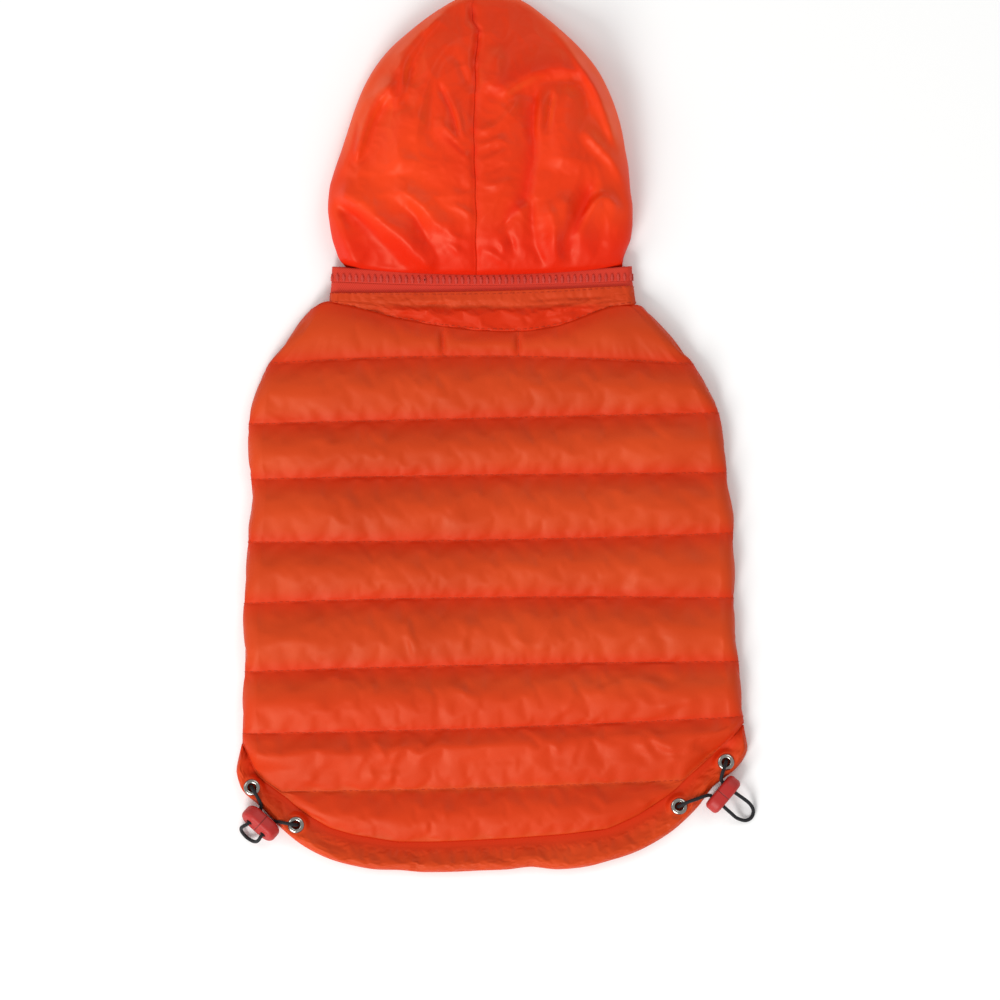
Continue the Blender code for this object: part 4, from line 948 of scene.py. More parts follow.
def backRow(above, below, f, channel, edges, margins):
    # outer and inner points of the row that is this share of the way from one line to the next
    leftY, rightY = lerp(above[3], below[3], f), lerp(above[4], below[4], f)
    left = edges[0](leftY) if f else above[0]
    right = edges[1](rightY) if f else above[1]
    crest = quilting["crest"][channel] * math.sin(math.pi * f)

    def rowY(x):
        return lerp(above[2](x), below[2](x), f)

    def swell(x):
        height = np.maximum(above[2](x) - below[2](x), 0.0)
        full = np.minimum(height / quilting["fullChannel"], 1.0) ** quilting["narrowPower"]
        if channel == 0:
            for seamX in quilting["leashSeams"]:
                full = full * (1.0 - quilting["leashDepth"] * bump(x - seamX, quilting["leashHalf"]))
        return crest * full

    sides = []
    for edge, sign, marginX, edgeY in ((left, 1.0, margins[0](leftY), leftY),
                                       (right, -1.0, margins[1](rightY), rightY)):
        x, z, innerX, innerZ, share, over = foldSection(edge, sign, marginX)
        y = np.where(over, rowY(x), edgeY)
        drop = (body["floor"] - tailFloor(x, y)) * share
        z = z - drop + swell(x) * share * quilting["sideShare"]
        sides.append((np.stack((x, y, z), 1), np.stack((innerX, y, innerZ - drop), 1)))
    spans = quilting["columns"]
    steps = np.linspace(0.0, 1.0, quilting["outerColumns"], endpoint=False)
    x = [lerp(left + body["fold"], spans[0][0], steps)]
    x += [np.linspace(start, end, count, endpoint=False) for start, end, count in spans]
    x += [[spans[-1][1]], lerp(right - body["fold"], spans[-1][1], steps)[::-1]]
    x = np.concatenate(x)
    y = rowY(x)
    floor = tailFloor(x, y)
    inward = smooth((np.minimum(x - left, right - x) - body["fold"]) / quilting["sideRun"])
    top = floor + body["wall"] + swell(x) * lerp(quilting["sideShare"], 1.0, inward)
    (leftOut, leftIn), (rightOut, rightIn) = sides
    outer = np.concatenate((leftOut, np.stack((x, y, top), 1), rightOut[::-1]))
    inner = np.concatenate((leftIn, np.stack((x, y, floor), 1), rightIn[::-1]))
    return outer, inner


def backGrid():
    # the outer and inner points of each row, and the rows that are sewn
    rearLeft, rearRight = body["rear"]
    leftEdge = sideEdges("back_panel", rearLeft[1], body["underY"])[0]
    rightEdge = sideEdges("back_panel", rearRight[1], body["underY"])[1]
    inset = body["rearInset"]
    hem = lowerEdge("back_panel", rearLeft[0] + inset, rearRight[0] - inset)
    ys = body["marginYs"]
    leftMargin = [leftEdge(y) + body["margin"] for y in ys]
    rightMargin = [rightEdge(y) - body["margin"] for y in ys]
    margins = (lambda y: np.interp(y, ys, leftMargin)), (lambda y: np.interp(y, ys, rightMargin))
    lines = backLines(leftEdge, rightEdge, hem)
    rows, sewn = [], []
    for channel in range(len(lines) - 1):
        above, below = lines[channel], lines[channel + 1]
        height = above[2](body["middleX"]) - below[2](body["middleX"])
        count = int(round(height / quilting["rowSpacing"]))
        t = np.arange(count) / count
        shares = lerp(t, 0.5 * (1.0 - np.cos(math.pi * t)), quilting["crowding"])
        if channel == len(lines) - 2:
            shares = np.append(shares, 1.0)
        sewn.append(len(rows))
        rows += [backRow(above, below, f, channel, (leftEdge, rightEdge), margins) for f in shares]
    sewn.append(len(rows) - 1)
    return np.array([row[0] for row in rows]), np.array([row[1] for row in rows]), sewn


def addBack(material):
    outer, inner, sewn = backGrid()
    pins = np.zeros(outer.shape[:2])
    pins[sewn] = 1.0
    held = quilting["heldColumns"]
    pins[:, :held] = pins[:, -held:] = 1.0
    for seamX in quilting["leashSeams"]:
        pins[:sewn[1], columnAt(outer, seamX, body["wall"])] = 1.0
    uneven = quilting["uneven"] * grain(outer, quilting["unevenSize"], 1)[..., None]
    outer = outer + gridNormals(outer) * (uneven * (1.0 - pins[..., None]))
    outer = settle(outer, pins, backFilling)
    outer, inner = refine(outer), refine(inner)
    rows = np.arange(len(outer))
    fromSeam = np.min([np.abs(rows - 2 * row) for row in sewn], axis=0)[:, None]
    over = smooth((outer[..., 2] - body["wall"]) / quilting["overRun"])
    rise = creaseField(outer[..., 0], outer[..., 1], backCreases, quilting["creaseFade"])
    rise = rise * smooth(fromSeam / quilting["seamRows"]) * over
    outer = outer + gridNormals(outer) * rise[..., None]
    piece = wallPiece("backPanel", outer, inner, material, step=quilting["innerStep"])
    # painted shade: redder beside each seam and along the leash seams, and towards the tail
    red = np.zeros(outer.shape[:2])
    for row in sewn:
        above = outer[..., 1] - outer[2 * row, :, 1]
        width = np.where(above > 0.0, quilting["redAbove"], quilting["redBelow"])
        red = np.maximum(red, bump(above, width))
    short = (np.arange(len(outer)) < 2 * sewn[1])[:, None]
    for seamX in quilting["leashSeams"]:
        red = np.maximum(red, bump(outer[..., 0] - seamX, quilting["leashRed"]) * short)
    tail = quilting["tailRed"] * smooth((quilting["tailFrom"] - outer[..., 1]) / quilting["tailRun"])
    paintShading(piece, np.maximum(quilting["redShare"] * red, tail) * over)
    wear(piece, "quilted_cloth", "back_panel")
    return outer, [2 * row for row in sewn]


backSurface, backSewn = addBack(nylon)
print("back ready")


bands = {                       # each edge: (left x, right x, left y, right y, middle y)
    "neck": (-81.8, 71.8, 64.9, 64.6),      # between its ends it is the neck seam
    "crease": (-81.6, 71.3, 66.0, 66.4, 62.6),
    "tapeLow": (-81.2, 70.4, 69.8, 73.4, 70.6),
    "tapeHigh": (-80.6, 70.0, 75.6, 76.0, 73.6),
    "chainHigh": (-80.3, 69.8, 83.0, 83.2, 78.6),
    "chainTucked": (-80.3, 69.8, 83.0, 83.2, 80.0),     # it goes on under the hood's edge
    "teeth": (-80.4, 69.9, 77.6, 77.8, 76.1),
    "inset": -0.05,             # a little past each edge, into the next band
    "zipEnds": (-44.0, 28.0),   # where the zip stops on the underside
}
collar = {
    "top": 9.0, "base": 0.0, "wall": 3.4,
    "rows": 22, "columns": 116, "foldColumns": 12, "underColumns": 12,
    "swell": 1.6, "full": 11.0, "crescentPower": 0.8,
    "sink": 1.6, "sinkFrom": 1.4, "sinkRate": 1.6,      # it dips towards the neck seam
    "crease": 0.9, "creaseWidth": 1.6, "creaseEnd": 14.0, "creaseHeld": 0.5, "creaseFade": 8.0,
    "pleatFade": 0.5,           # how much of a pleat is gone at the crease
    "stitchedRow": 3,           # the rows of stitches are this many rows in from its edges
    "red": 0.85, "redFrom": 0.5, "redRun": 2.5,         # painted shade, redder in the crescent below the crease
    "redEnds": ((-64.0, 24.0), (60.0, 16.0)),           # (where it starts to fade, over how far)
    "overFrom": 6.0, "overRun": 1.5, "innerStep": 6,
    "pleats": (                 # (x, width, depth) gathers that run up from the neck seam
        (-58.0, 5.0, 0.9),
        (-38.0, 6.0, 0.8),
        (-15.0, 7.0, 0.7),
        (4.0, 6.0, 0.9),
        (27.0, 5.0, 1.1),
        (44.0, 5.0, 0.9),
    ),
}
collarFilling = {
    "pressure": 0.8, "excess": 0.012, "mass": 0.02, "stretch": 12.0, "shear": 4.0, "bend": 1.2,
    "damping": 5.0, "air": 1.0, "quality": 6, "frames": 18, "reach": 1.6,
}


collarCreases = (               # (points along it, width on its left, width on its right, height)
    (((-42, 64.4), (-22, 64.0), (0, 64.6), (10, 64.2)), 1.3, 1.6, -0.7),
    (((-60, 66.6), (-35, 65.8), (-12, 66.4)), 1.6, 1.4, 0.4),
    (((12, 64.2), (28, 67.0), (46, 67.4), (60, 68.0)), 1.4, 1.2, -0.7),
    (((26, 60.6), (42, 64.0), (58, 67.6)), 1.8, 1.3, 0.9),
    (((22, 57.6), (36, 60.0), (52, 64.6)), 1.4, 1.8, -0.8),
    (((-66, 63.0), (-48, 60.0), (-30, 57.5)), 1.4, 1.8, -0.6),
    (((-52, 62.0), (-38, 59.0), (-30, 55.0)), 1.6, 1.6, 0.6),
    (((-34, 59.5), (-26, 56.5), (-22, 52.5)), 1.5, 1.5, 0.6),
    (((-8, 58.5), (-6, 55.5), (-7, 52.0)), 1.6, 1.6, 0.5),
    (((14, 59.0), (17, 56.0), (16, 53.0)), 1.5, 1.6, -0.6),
)


def bandLine(name):
    if name == "neck":
        return lambda x: neckLine(x) - body["seamLap"]
    left, right, leftY, rightY, middleY = bands[name]
    return parabola(((left, leftY), (body["neckMiddle"], middleY), (right, rightY)))


def bandSide(edge, sign, edgeY, end, middle, rowY, shape):
    # from under the coat to the end of the fold: outer and inner points
    base, wall = shape["base"], shape["wall"]
    radius = (shape["top"] - base) / 2.0
    t = np.linspace(0.0, 1.0, shape["underColumns"], endpoint=False)
    x = lerp(end, edge + sign * radius, t)
    y = lerp(middle[1], edgeY, np.abs((x - middle[0]) / (edge - middle[0])))
    outer, inner = [np.stack((x, y, 0.0 * x + base), 1)], [np.stack((x, y, 0.0 * x + base + wall), 1)]
    a = np.radians(np.linspace(*body["foldAngles"], shape["foldColumns"]))
    x = edge + sign * radius * (1.0 - np.cos(a))
    y = lerp(edgeY, rowY(x), smooth(np.sin(a)))
    outer.append(np.stack((x, y, base + radius * (1.0 + np.sin(a))), 1))
    x = edge + sign * (wall + (radius - wall) * (1.0 - np.cos(a)))
    inner.append(np.stack((x, y, base + radius + (radius - wall) * np.sin(a)), 1))
    return np.concatenate(outer), np.concatenate(inner)


def bandGrid(lower, upper, shape, swell=None, ring=False):
    # outer and inner points of a flattened band between two edges, its highest row first
    low, high = bands[lower], bands[upper]
    lowLine, highLine = bandLine(lower), bandLine(upper)
    outer, inner = [], []
    for f in np.linspace(1.0, 0.0, shape["rows"]):
        left, right, leftY, rightY = (lerp(a, b, f) for a, b in zip(low[:4], high[:4]))
        inset = bands["inset"] * (1.0 - 2.0 * f)

        def rowY(x):
            return lerp(lowLine(x), highLine(x), f) + inset

        middle = 0.5 * (left + right), 0.5 * (leftY + rightY) + inset
        ends = (middle[0], middle[0]) if ring else bands["zipEnds"]
        leftOut, leftIn = bandSide(left, 1.0, leftY + inset, ends[0], middle, rowY, shape)
        rightOut, rightIn = bandSide(right, -1.0, rightY + inset, ends[1], middle, rowY, shape)
        radius = (shape["top"] - shape["base"]) / 2.0
        x = np.linspace(left + radius, right - radius, shape["columns"])
        y = rowY(x)
        rise = swell(x, y) if swell else 0.0 * x
        shared = 1 if ring else 0                       # a ring's two ends meet in one column
        top = np.stack((x, y, shape["top"] + rise), 1)
        outer.append(np.concatenate((leftOut, top, rightOut[shared:][::-1])))
        top = np.stack((x, y, 0.0 * x + shape["top"] - shape["wall"]), 1)
        inner.append(np.concatenate((leftIn, top, rightIn[shared:][::-1])))
    return np.array(outer), np.array(inner)


def collarSwell(x, y):
    neck, crease = bandLine("neck")(x), bandLine("crease")(x)
    height = np.maximum(crease - neck, 0.1)
    share = np.clip((y - neck) / height, 0.0, 1.0)
    crescent = np.sin(math.pi * share) ** collar["crescentPower"] * np.minimum(height / collar["full"], 1.0)
    pleats = sum(depth * bump(x - middle, width) for middle, width, depth in collar["pleats"])
    left, right = bands["crease"][:2]
    ends = smooth((x - left) / collar["creaseEnd"]) * smooth((right - x) / collar["creaseEnd"])
    fold = collar["crease"] * bump(y - crease, collar["creaseWidth"])
    fold = fold + collar["sink"] * smooth(collar["sinkFrom"] - collar["sinkRate"] * share)
    return crescent * (collar["swell"] - pleats * (1.0 - collar["pleatFade"] * share)) - fold * ends


def addCollar(material):
    outer, inner = bandGrid("neck", "tapeLow", collar, collarSwell, ring=True)
    pins = np.zeros(outer.shape[:2])
    pins[[0, -1]] = 1.0
    held = collar["underColumns"] + collar["foldColumns"] // 2
    pins[:, :held] = pins[:, 1 - held:] = 1.0
    crease = bandLine("crease")(outer[..., 0])
    over = outer[..., 2] > collar["top"] / 2.0
    pins[over & (np.abs(outer[..., 1] - crease) < collar["creaseHeld"])] = 1.0
    outer = settle(outer, pins, collarFilling, closed=True)
    outer, inner = refine(outer, True), refine(inner, True)
    x, y = outer[..., 0], outer[..., 1]
    over = smooth((outer[..., 2] - collar["overFrom"]) / collar["overRun"])
    outer[..., 2] += creaseField(x, y, collarCreases, collar["creaseFade"]) * over
    piece = wallPiece("collarRing", outer, inner, material, step=collar["innerStep"], closed=True)
    # painted shade in the crescent below the crease, fading towards its ends
    (left, leftRun), (right, rightRun) = collar["redEnds"]
    middle = smooth((x - left) / leftRun) * smooth((right - x) / rightRun)
    below = smooth((bandLine("crease")(x) - y + collar["redFrom"]) / collar["redRun"])
    paintShading(piece, collar["red"] * below * middle * over)
    wear(piece, "quilted_cloth", "collar")
    return outer


collarSurface = addCollar(collarNylon)
print("collar ready")


zipTape = {"wall": 1.5, "columns": 150, "foldColumns": 14, "underColumns": 24, "innerStep": 2}
zipHalves = (                   # (name, node, lower edge, upper edge, top, base, rows)
    ("zipTapeLower", "zip_tape", "tapeLow", "tapeHigh", 7.8, 0.0, 8),
    ("zipTapeUpper", "zip_chain", "tapeHigh", "chainTucked", 7.79, 0.75, 9),
)


def addZipTapes(material):
    made = []
    for name, node, lower, upper, top, base, rows in zipHalves:
        outer, inner = bandGrid(lower, upper, {**zipTape, "top": top, "base": base, "rows": rows})
        piece = wallPiece(name, outer, inner, material, step=zipTape["innerStep"])
        wear(piece, "zip_tape", node)
        made.append((piece, outer))
    return made


zipTapes = addZipTapes(tapeCloth)
print("zip tapes ready")


hood = {
    "outline": (                # (y, left x, right x, crown z, widest z)
        (82.9, -73.6, 65.0, 8.7, 4.2),
        (83.7, -74.2, 65.1, 11.4, 4.6),
        (86.5, -76.6, 65.4, 15.0, 5.4),
        (91.2, -78.4, 67.0, 19.0, 6.2),
        (97.0, -80.2, 69.2, 22.0, 7.2),
        (104.0, -81.4, 70.0, 24.6, 8.0),
        (112.0, -82.3, 70.1, 26.4, 8.6),
        (121.2, -81.6, 68.9, 27.6, 9.0),
        (131.2, -78.9, 68.1, 28.2, 9.0),
        (141.2, -75.4, 66.4, 28.2, 9.0),
        (151.2, -72.2, 64.6, 27.8, 9.0),
        (161.2, -68.9, 61.8, 27.0, 8.8),
        (171.2, -65.0, 57.9, 25.8, 8.4),
        (181.2, -59.6, 52.6, 24.0, 8.0),
        (191.2, -51.9, 44.7, 21.4, 7.2),
        (201.2, -40.9, 34.4, 17.8, 6.2),
        (208.6, -31.4, 25.6, 14.6, 5.2),
        (214.6, -22.2, 17.6, 11.6, 4.4),
        (218.2, -15.4, 10.6, 9.0, 3.6),
        (220.2, -11.4, 4.0, 6.4, 3.0),
    ),
    "tipRun": 1.4,              # the cloth closes over the tip in this last length
    "wall": 0.8,
    "seamX": -8.0, "seamGap": 0.03,
    "roundness": 2.4,           # superellipse power of the section
    "underRound": 9.0, "underShare": 0.45,      # how round its sides are below
    # the face opening on the underside: half its width, up to where it is straight, and its top
    "faceHalf": 36.0, "faceStraight": 128.0, "faceTop": 199.0, "faceMost": 0.98,
    "dipRun": 24.0, "dipSide": 9.0,     # its lower edge comes down to the zip
    "foldSide": 9.0, "foldCrown": (8.7, 15.0),          # folds grow over this run and these heights
    "zipGap": 0.2,              # its lower edge stays this far past the chain
    "rows": 110, "underColumns": 10, "sideColumns": 8, "topColumns": 62, "curveSteps": 400,
    "crowding": 1.25,           # rows lie closer together towards the tip
    "innerStep": 3,
}
hoodFolds = (                   # (points along it, width on its left, width on its right, height)
    (((-82, 112), (-78, 99), (-70, 85), (-62, 80)), 7.0, 5.0, 2.8),
    # long folds from the lower left corner, a ridge and the trough below it
    (((-81, 121), (-66, 113), (-46, 97), (-27, 79)), 7.0, 4.0, 3.0),
    (((-79, 117), (-69, 108), (-61, 100), (-51, 90), (-40, 78)), 3.6, 8.0, -2.2),
    (((-50, 124), (-35, 112), (-27, 103), (-15, 96)), 6.0, 3.4, 2.0),
    (((-50, 115), (-41, 108), (-33, 96), (-25, 79)), 3.0, 6.0, -1.5),
    (((-28, 97), (-20, 92), (-12, 86)), 3.0, 2.2, 1.1),
    # left side, high up
    (((-24, 214), (-35, 198), (-44, 180), (-49, 158)), 2.6, 6.0, 2.4),
    (((-18, 200), (-28, 184), (-36, 162), (-38, 140)), 3.0, 6.0, 1.4),
    (((-31, 205), (-40, 186), (-43, 168)), 5.0, 2.5, -1.2),
    (((-70, 132), (-64, 148), (-56, 164), (-48, 178)), 4.6, 2.6, 2.4),
    (((-62, 172), (-71, 150), (-78, 126)), 4.0, 4.5, 1.9),
    (((-50, 170), (-60, 150), (-66, 130)), 5.0, 3.5, -1.2),
    (((-42, 164), (-46, 146), (-46, 126)), 7.0, 5.0, 1.8),
    (((-28, 175), (-30, 155), (-25, 138)), 5.0, 4.0, -1.0),
    (((-27, 176), (-21, 160), (-15, 145)), 2.0, 2.0, -1.1),
    (((-45, 181), (-47, 170), (-48, 160)), 2.0, 2.4, -0.9),
    (((-66, 161), (-69, 146), (-71, 130)), 2.2, 2.4, -0.9),
    # puckers that the centre seam draws in
    (((-29, 158), (-18, 145), (-9, 131)), 2.4, 3.4, 1.2),
    (((-25, 151), (-17, 143), (-10, 134)), 2.0, 2.0, -0.9),
    (((-22, 168), (-17, 156), (-12, 143)), 2.2, 2.8, 1.0),
    (((-22, 116), (-14, 110), (-7, 105)), 2.0, 2.4, 0.9),
    (((-24, 99), (-15, 96), (-7, 95)), 2.0, 2.0, 0.8),
    (((-20, 125), (-14, 121), (-8, 120)), 2.2, 2.0, -0.7),
    (((-22, 190), (-16, 182), (-10, 170)), 2.6, 2.2, -0.8),
    (((-8, 141), (0, 143), (8, 148)), 2.0, 2.0, 0.9),
    (((-7, 132), (1, 136), (10, 142)), 2.0, 2.0, 0.9),
    (((-8, 122), (3, 123), (13, 126)), 2.2, 2.0, 1.0),
    (((-7, 127), (2, 130), (9, 134)), 1.6, 1.6, -0.7),
    (((-8, 148), (5, 155), (15, 168)), 2.4, 3.0, 1.1),
    (((-5, 166), (0, 178), (4, 194)), 5.0, 4.0, 1.8),
    # the arch over the right half, and what falls from it
    (((0, 165), (14, 177), (27, 181), (41, 181), (50, 173), (58, 155), (68, 130)), 7.0, 3.6, 2.4),
    (((8, 166), (18, 172), (30, 174), (42, 172), (48, 162), (52, 150)), 3.0, 6.0, -0.8),
    (((30, 206), (41, 188), (54, 168), (67, 138)), 3.6, 2.6, 2.2),
    (((44, 153), (57, 138), (70, 122)), 4.4, 3.4, 2.2),
    (((21, 175), (20, 151), (19, 134), (16, 119), (9, 109), (2, 98)), 3.0, 6.0, -1.8),
    (((23, 172), (24, 158), (23, 143)), 2.4, 2.4, 1.2),
    (((29, 173), (29, 160), (28, 146)), 1.6, 1.8, -1.2),
    (((38, 176), (38, 154), (35, 128)), 11.0, 9.0, 2.6),
    (((33, 122), (35, 108), (33, 88)), 5.0, 5.0, 1.8),
    (((-2, 101), (8, 108), (18, 117)), 3.4, 2.4, 1.4),
    (((19, 121), (20, 100), (27, 80)), 2.2, 3.4, -1.3),
    (((26, 117), (31, 98), (34, 82)), 3.4, 4.2, 2.0),
    (((49, 128), (46, 112), (41, 98), (38, 82)), 3.0, 6.5, -1.6),
    (((40, 90), (44, 104), (51, 113), (57, 116), (66, 108)), 2.6, 4.4, 2.2),
    (((51, 84), (54, 96), (60, 106)), 5.0, 4.0, -1.2),
    (((7, 102), (10, 94), (11, 84)), 2.2, 2.2, -1.3),
    (((-8, 92), (1, 88), (10, 80)), 2.2, 2.6, 1.1),
    (((1, 96), (5, 92), (6, 86)), 1.8, 1.8, 0.8),
)
hoodReds = (                    # painted shade in the deep folds and troughs: as folds, with a share of red
    (((-79, 116), (-69, 108), (-61, 100), (-51, 90), (-40, 77)), 4.0, 6.4, 0.8),
    (((-46, 111), (-40, 106), (-32, 94), (-24, 78)), 2.4, 4.0, 0.8),
    (((22, 174), (20, 150), (19, 134), (17, 121), (11, 111), (3, 99)), 2.4, 3.8, 0.8),
    (((19, 121), (20, 100), (27, 80)), 1.8, 2.0, 0.7),
    (((50, 130), (47, 115), (41, 99), (38, 80)), 2.2, 6.4, 0.85),
    (((-5, 160), (4, 174), (14, 179), (27, 181), (42, 180), (56, 168), (63, 156)), 4.0, 3.4, 0.4),
    (((-27, 176), (-21, 160), (-15, 144)), 1.6, 1.8, 0.5),
    (((-27, 151), (-17, 141), (-9, 133)), 1.5, 1.6, 0.5),
    (((-45, 183), (-47, 170), (-49, 158)), 2.0, 2.2, 0.35),
    (((-66, 163), (-69, 146), (-71, 128)), 2.2, 2.4, 0.4),
    (((8, 98), (10, 90), (10, 80)), 1.8, 1.8, 0.7),
    (((-16, 87), (-6, 84), (4, 86)), 1.6, 1.8, 0.5),
    (((-60, 80), (-30, 78.5), (10, 78)), 2.4, 2.4, 0.8),
    (((-10, 78), (30, 78), (60, 80)), 2.2, 2.2, 0.6),
)
hoodCloth = {
    "depth": 1.5,               # of every fold
    "drift": 1.6, "driftSize": 16.0,        # how unevenly the folds run
    "rumples": ((0.75, 17.0, 23), (0.22, 5.5, 24)),         # (height, size, seed)
    "ridges": (0.5, 2.2),       # they run up to narrow ridges, and this much lower between them
    # the centre seam draws the cloth in, more so towards the tip, with painted shade in its dip
    "seamWidth": 2.2, "seamDip": (1.0, 2.2), "seamRed": (0.6, 0.9), "seamRedWidth": 1.8,
    "seamHigh": 150.0, "seamHighRun": 60.0,
    # how evenly it does so, and how evenly its painted shade lies: (mean, how uneven, size, seed)
    "seamGathers": (1.0, 0.7, 6.0, 27), "seamPatches": (0.6, 0.8, 7.0, 26),
    # how it runs from side to side, x over y, and a lesser wander of its own
    "seamYs": (75.0, 130.0, 156.0, 186.0, 200.0, 206.0, 213.0, 219.0),
    "seamXs": (0.0, -0.5, -1.2, -0.2, 0.6, -2.4, -2.4, 0.0),
    "seamWander": (0.0, 0.8, 9.0, 25), "seamPull": 7.0,
    "redFade": 14.0,
    "zipRed": 0.8, "zipRedTo": 90.0, "zipRedRun": 22.0,     # painted shade, redder where it meets the zip
    # painted sheen: paler from this y on, where it slopes this much and is this far off the table
    "paintedSheen": 0.5, "paintedSheenFrom": 125.0, "paintedSheenRun": 30.0, "paintedSheenSlope": (0.5, 0.95),
    "paintedSheenOver": (2.0, 5.0),
}


def hoodShape(y):
    # left x, right x, crown z and widest z, closing to a point over the tip
    ys, *columns = zip(*hood["outline"])
    left, right, crown, waist = (float(through(ys, column)(y)) for column in columns)
    beyond = min(max(y - ys[-1], 0.0) / hood["tipRun"], 0.999)
    scale = math.sqrt(1.0 - beyond * beyond)
    middle = lerp(left, right, 0.5)
    return lerp(middle, left, scale), lerp(middle, right, scale), lerp(waist, crown, scale), waist * scale


def hoodRow(y, side, inset):
    # half a row: from the face opening's edge, round the side, to the seam on top
    left, right, crown, waist = hoodShape(y)
    seam = hood["seamX"] if left < hood["seamX"] < right else lerp(left, right, 0.5)
    edge = left + inset if side < 0 else right - inset
    seam, crown = seam + side * hood["seamGap"], crown - inset
    part = max(y - hood["faceStraight"], 0.0) / (hood["faceTop"] - hood["faceStraight"])
    face = hood["faceHalf"] * math.sqrt(max(1.0 - part * part, 0.0))
    half = abs(edge - seam)
    corner = min(hood["underRound"], half * hood["underShare"])
    start = edge - side * corner
    end = seam + side * min(face, abs(start - seam) * hood["faceMost"])
    t = np.linspace(0.0, 1.0, hood["underColumns"], endpoint=False)
    under = np.stack((lerp(end, start, t), 0.0 * t + inset), 1)
    a = np.radians(np.linspace(-90.0, 0.0, hood["sideColumns"], endpoint=False))
    x, z = edge - side * corner * (1.0 - np.cos(a)), inset + (waist - inset) * (1.0 + np.sin(a))
    beside = np.stack((x, z), 1)
    a = np.linspace(0.0, 0.5 * math.pi, hood["curveSteps"])
    t, power = np.cos(a), hood["roundness"]
    z = waist + (crown - waist) * np.maximum(1.0 - t ** power, 0.0) ** (1.0 / power)
    x = seam + side * half * t
    way = np.concatenate(([0.0], np.cumsum(np.hypot(np.diff(x), np.diff(z)))))
    marks = np.linspace(0.0, way[-1], hood["topColumns"])
    top = np.stack((np.interp(marks, way, x), np.interp(marks, way, z)), 1)
    row = np.concatenate((under, beside, top))
    x, z = row[:, 0], row[:, 1]
    over = np.arange(len(row)) >= len(row) - len(top)
    inward = half - np.abs(x - seam)
    lowest = hood["outline"][0][0]
    dip = np.maximum(lowest - bandLine("chainHigh")(x) - hood["zipGap"], 0.0)
    dip = dip * (1.0 - smooth((y - lowest) / hood["dipRun"]))
    ys = y - dip * smooth(inward / hood["dipSide"]) * over
    low, high = hood["foldCrown"]
    grown = smooth((crown - low) / (high - low)) * smooth(inward / hood["foldSide"]) * over
    return np.stack((x, ys, z, grown), 1)


def hoodHalf(side):
    # outer and inner points, tip first, and columns in the same turning sense on both sides
    bottom, top = hood["outline"][0][0], hood["outline"][-1][0] + hood["tipRun"]
    t = np.linspace(0.0, 1.0, hood["rows"])
    ys = bottom + (top - bottom) * (1.0 - (1.0 - t) ** hood["crowding"])
    outer = np.array([hoodRow(y, side, 0.0) for y in ys[::-1]])
    innerYs = bottom + (ys - bottom) * (1.0 - hood["wall"] / (top - bottom))
    inner = np.array([hoodRow(y, side, hood["wall"]) for y in innerYs[::-1]])
    if side > 0:
        outer, inner = outer[:, ::-1], inner[:, ::-1]
    outer, red = crumpled(refine(outer))
    return outer, crumpled(refine(inner))[0], red


def crumpled(grid):
    # the half with its folds, rumples and seam, and its painted shade less its painted sheen; the fourth
    # value of each point is how far folds have grown there
    look = hoodCloth
    places, grown = grid[..., :3].copy(), np.clip(grid[..., 3], 0.0, 1.0)
    flat, upwards = places * (1.0, 1.0, 0.0), places * (0.0, 1.0, 0.0)
    y = flat[..., 1]
    driftX, driftY = (look["drift"] * grain(flat, look["driftSize"], seed) for seed in (21, 22))
    foldX, foldY = flat[..., 0] + driftX, y + driftY
    rise = look["depth"] * creaseField(foldX, foldY, hoodFolds)
    ridge, lower = look["ridges"]
    for height, size, seed in look["rumples"]:
        rise += height * (ridge - lower * np.abs(grain(flat, size, seed)))
    fromSeam = np.abs(flat[..., 0] - hood["seamX"])
    high = smooth((y - look["seamHigh"]) / look["seamHighRun"])
    gathers = patchy(flat * (0.3, 1.0, 0.0), *look["seamGathers"])
    rise -= lerp(*look["seamDip"], high) * gathers * bump(fromSeam, look["seamWidth"])
    wander = patchy(upwards, *look["seamWander"]) + through(look["seamYs"], look["seamXs"])(y)
    places[..., 0] += wander * bump(fromSeam, look["seamPull"])
    places[..., 2] += rise * grown
    # painted shade along the shaded folds, the seam and the zip, less painted sheen on steep slopes
    red = creaseField(foldX, foldY, hoodReds, look["redFade"])
    patches = patchy(upwards, *look["seamPatches"])
    red += lerp(*look["seamRed"], high) * bump(fromSeam, look["seamRedWidth"]) * patches
    paintedShading = look["zipRed"] * (1.0 - smooth((y - look["zipRedTo"]) / look["zipRedRun"]))
    red = np.clip(red * grown, paintedShading, 1.0)
    # painted sheen: paler where the cloth slopes steeply, high up on the hood
    steep, level = look["paintedSheenSlope"]
    low, over = look["paintedSheenOver"]
    paintedSheen = 1.0 - smooth((gridNormals(places)[..., 2] - steep) / (level - steep))
    paintedSheen *= smooth((y - look["paintedSheenFrom"]) / look["paintedSheenRun"])
    paintedSheen *= smooth((places[..., 2] - low) / (over - low))
    return places, red - look["paintedSheen"] * paintedSheen


def addHood(material):
    made = {}
    for name, side in (("Left", -1), ("Right", 1)):
        outer, inner, red = hoodHalf(side)
        piece = wallPiece("hoodHalf" + name, outer, inner, material, step=hood["innerStep"])
        # the painted shade and painted sheen go into the cloth's colour
        paintShading(piece, red)
        wear(piece, "hood_cloth", "hood_" + name.lower())
        made[name] = (piece, outer)
    return made


hoodHalves = addHood(hoodNylon)
print("hood ready")


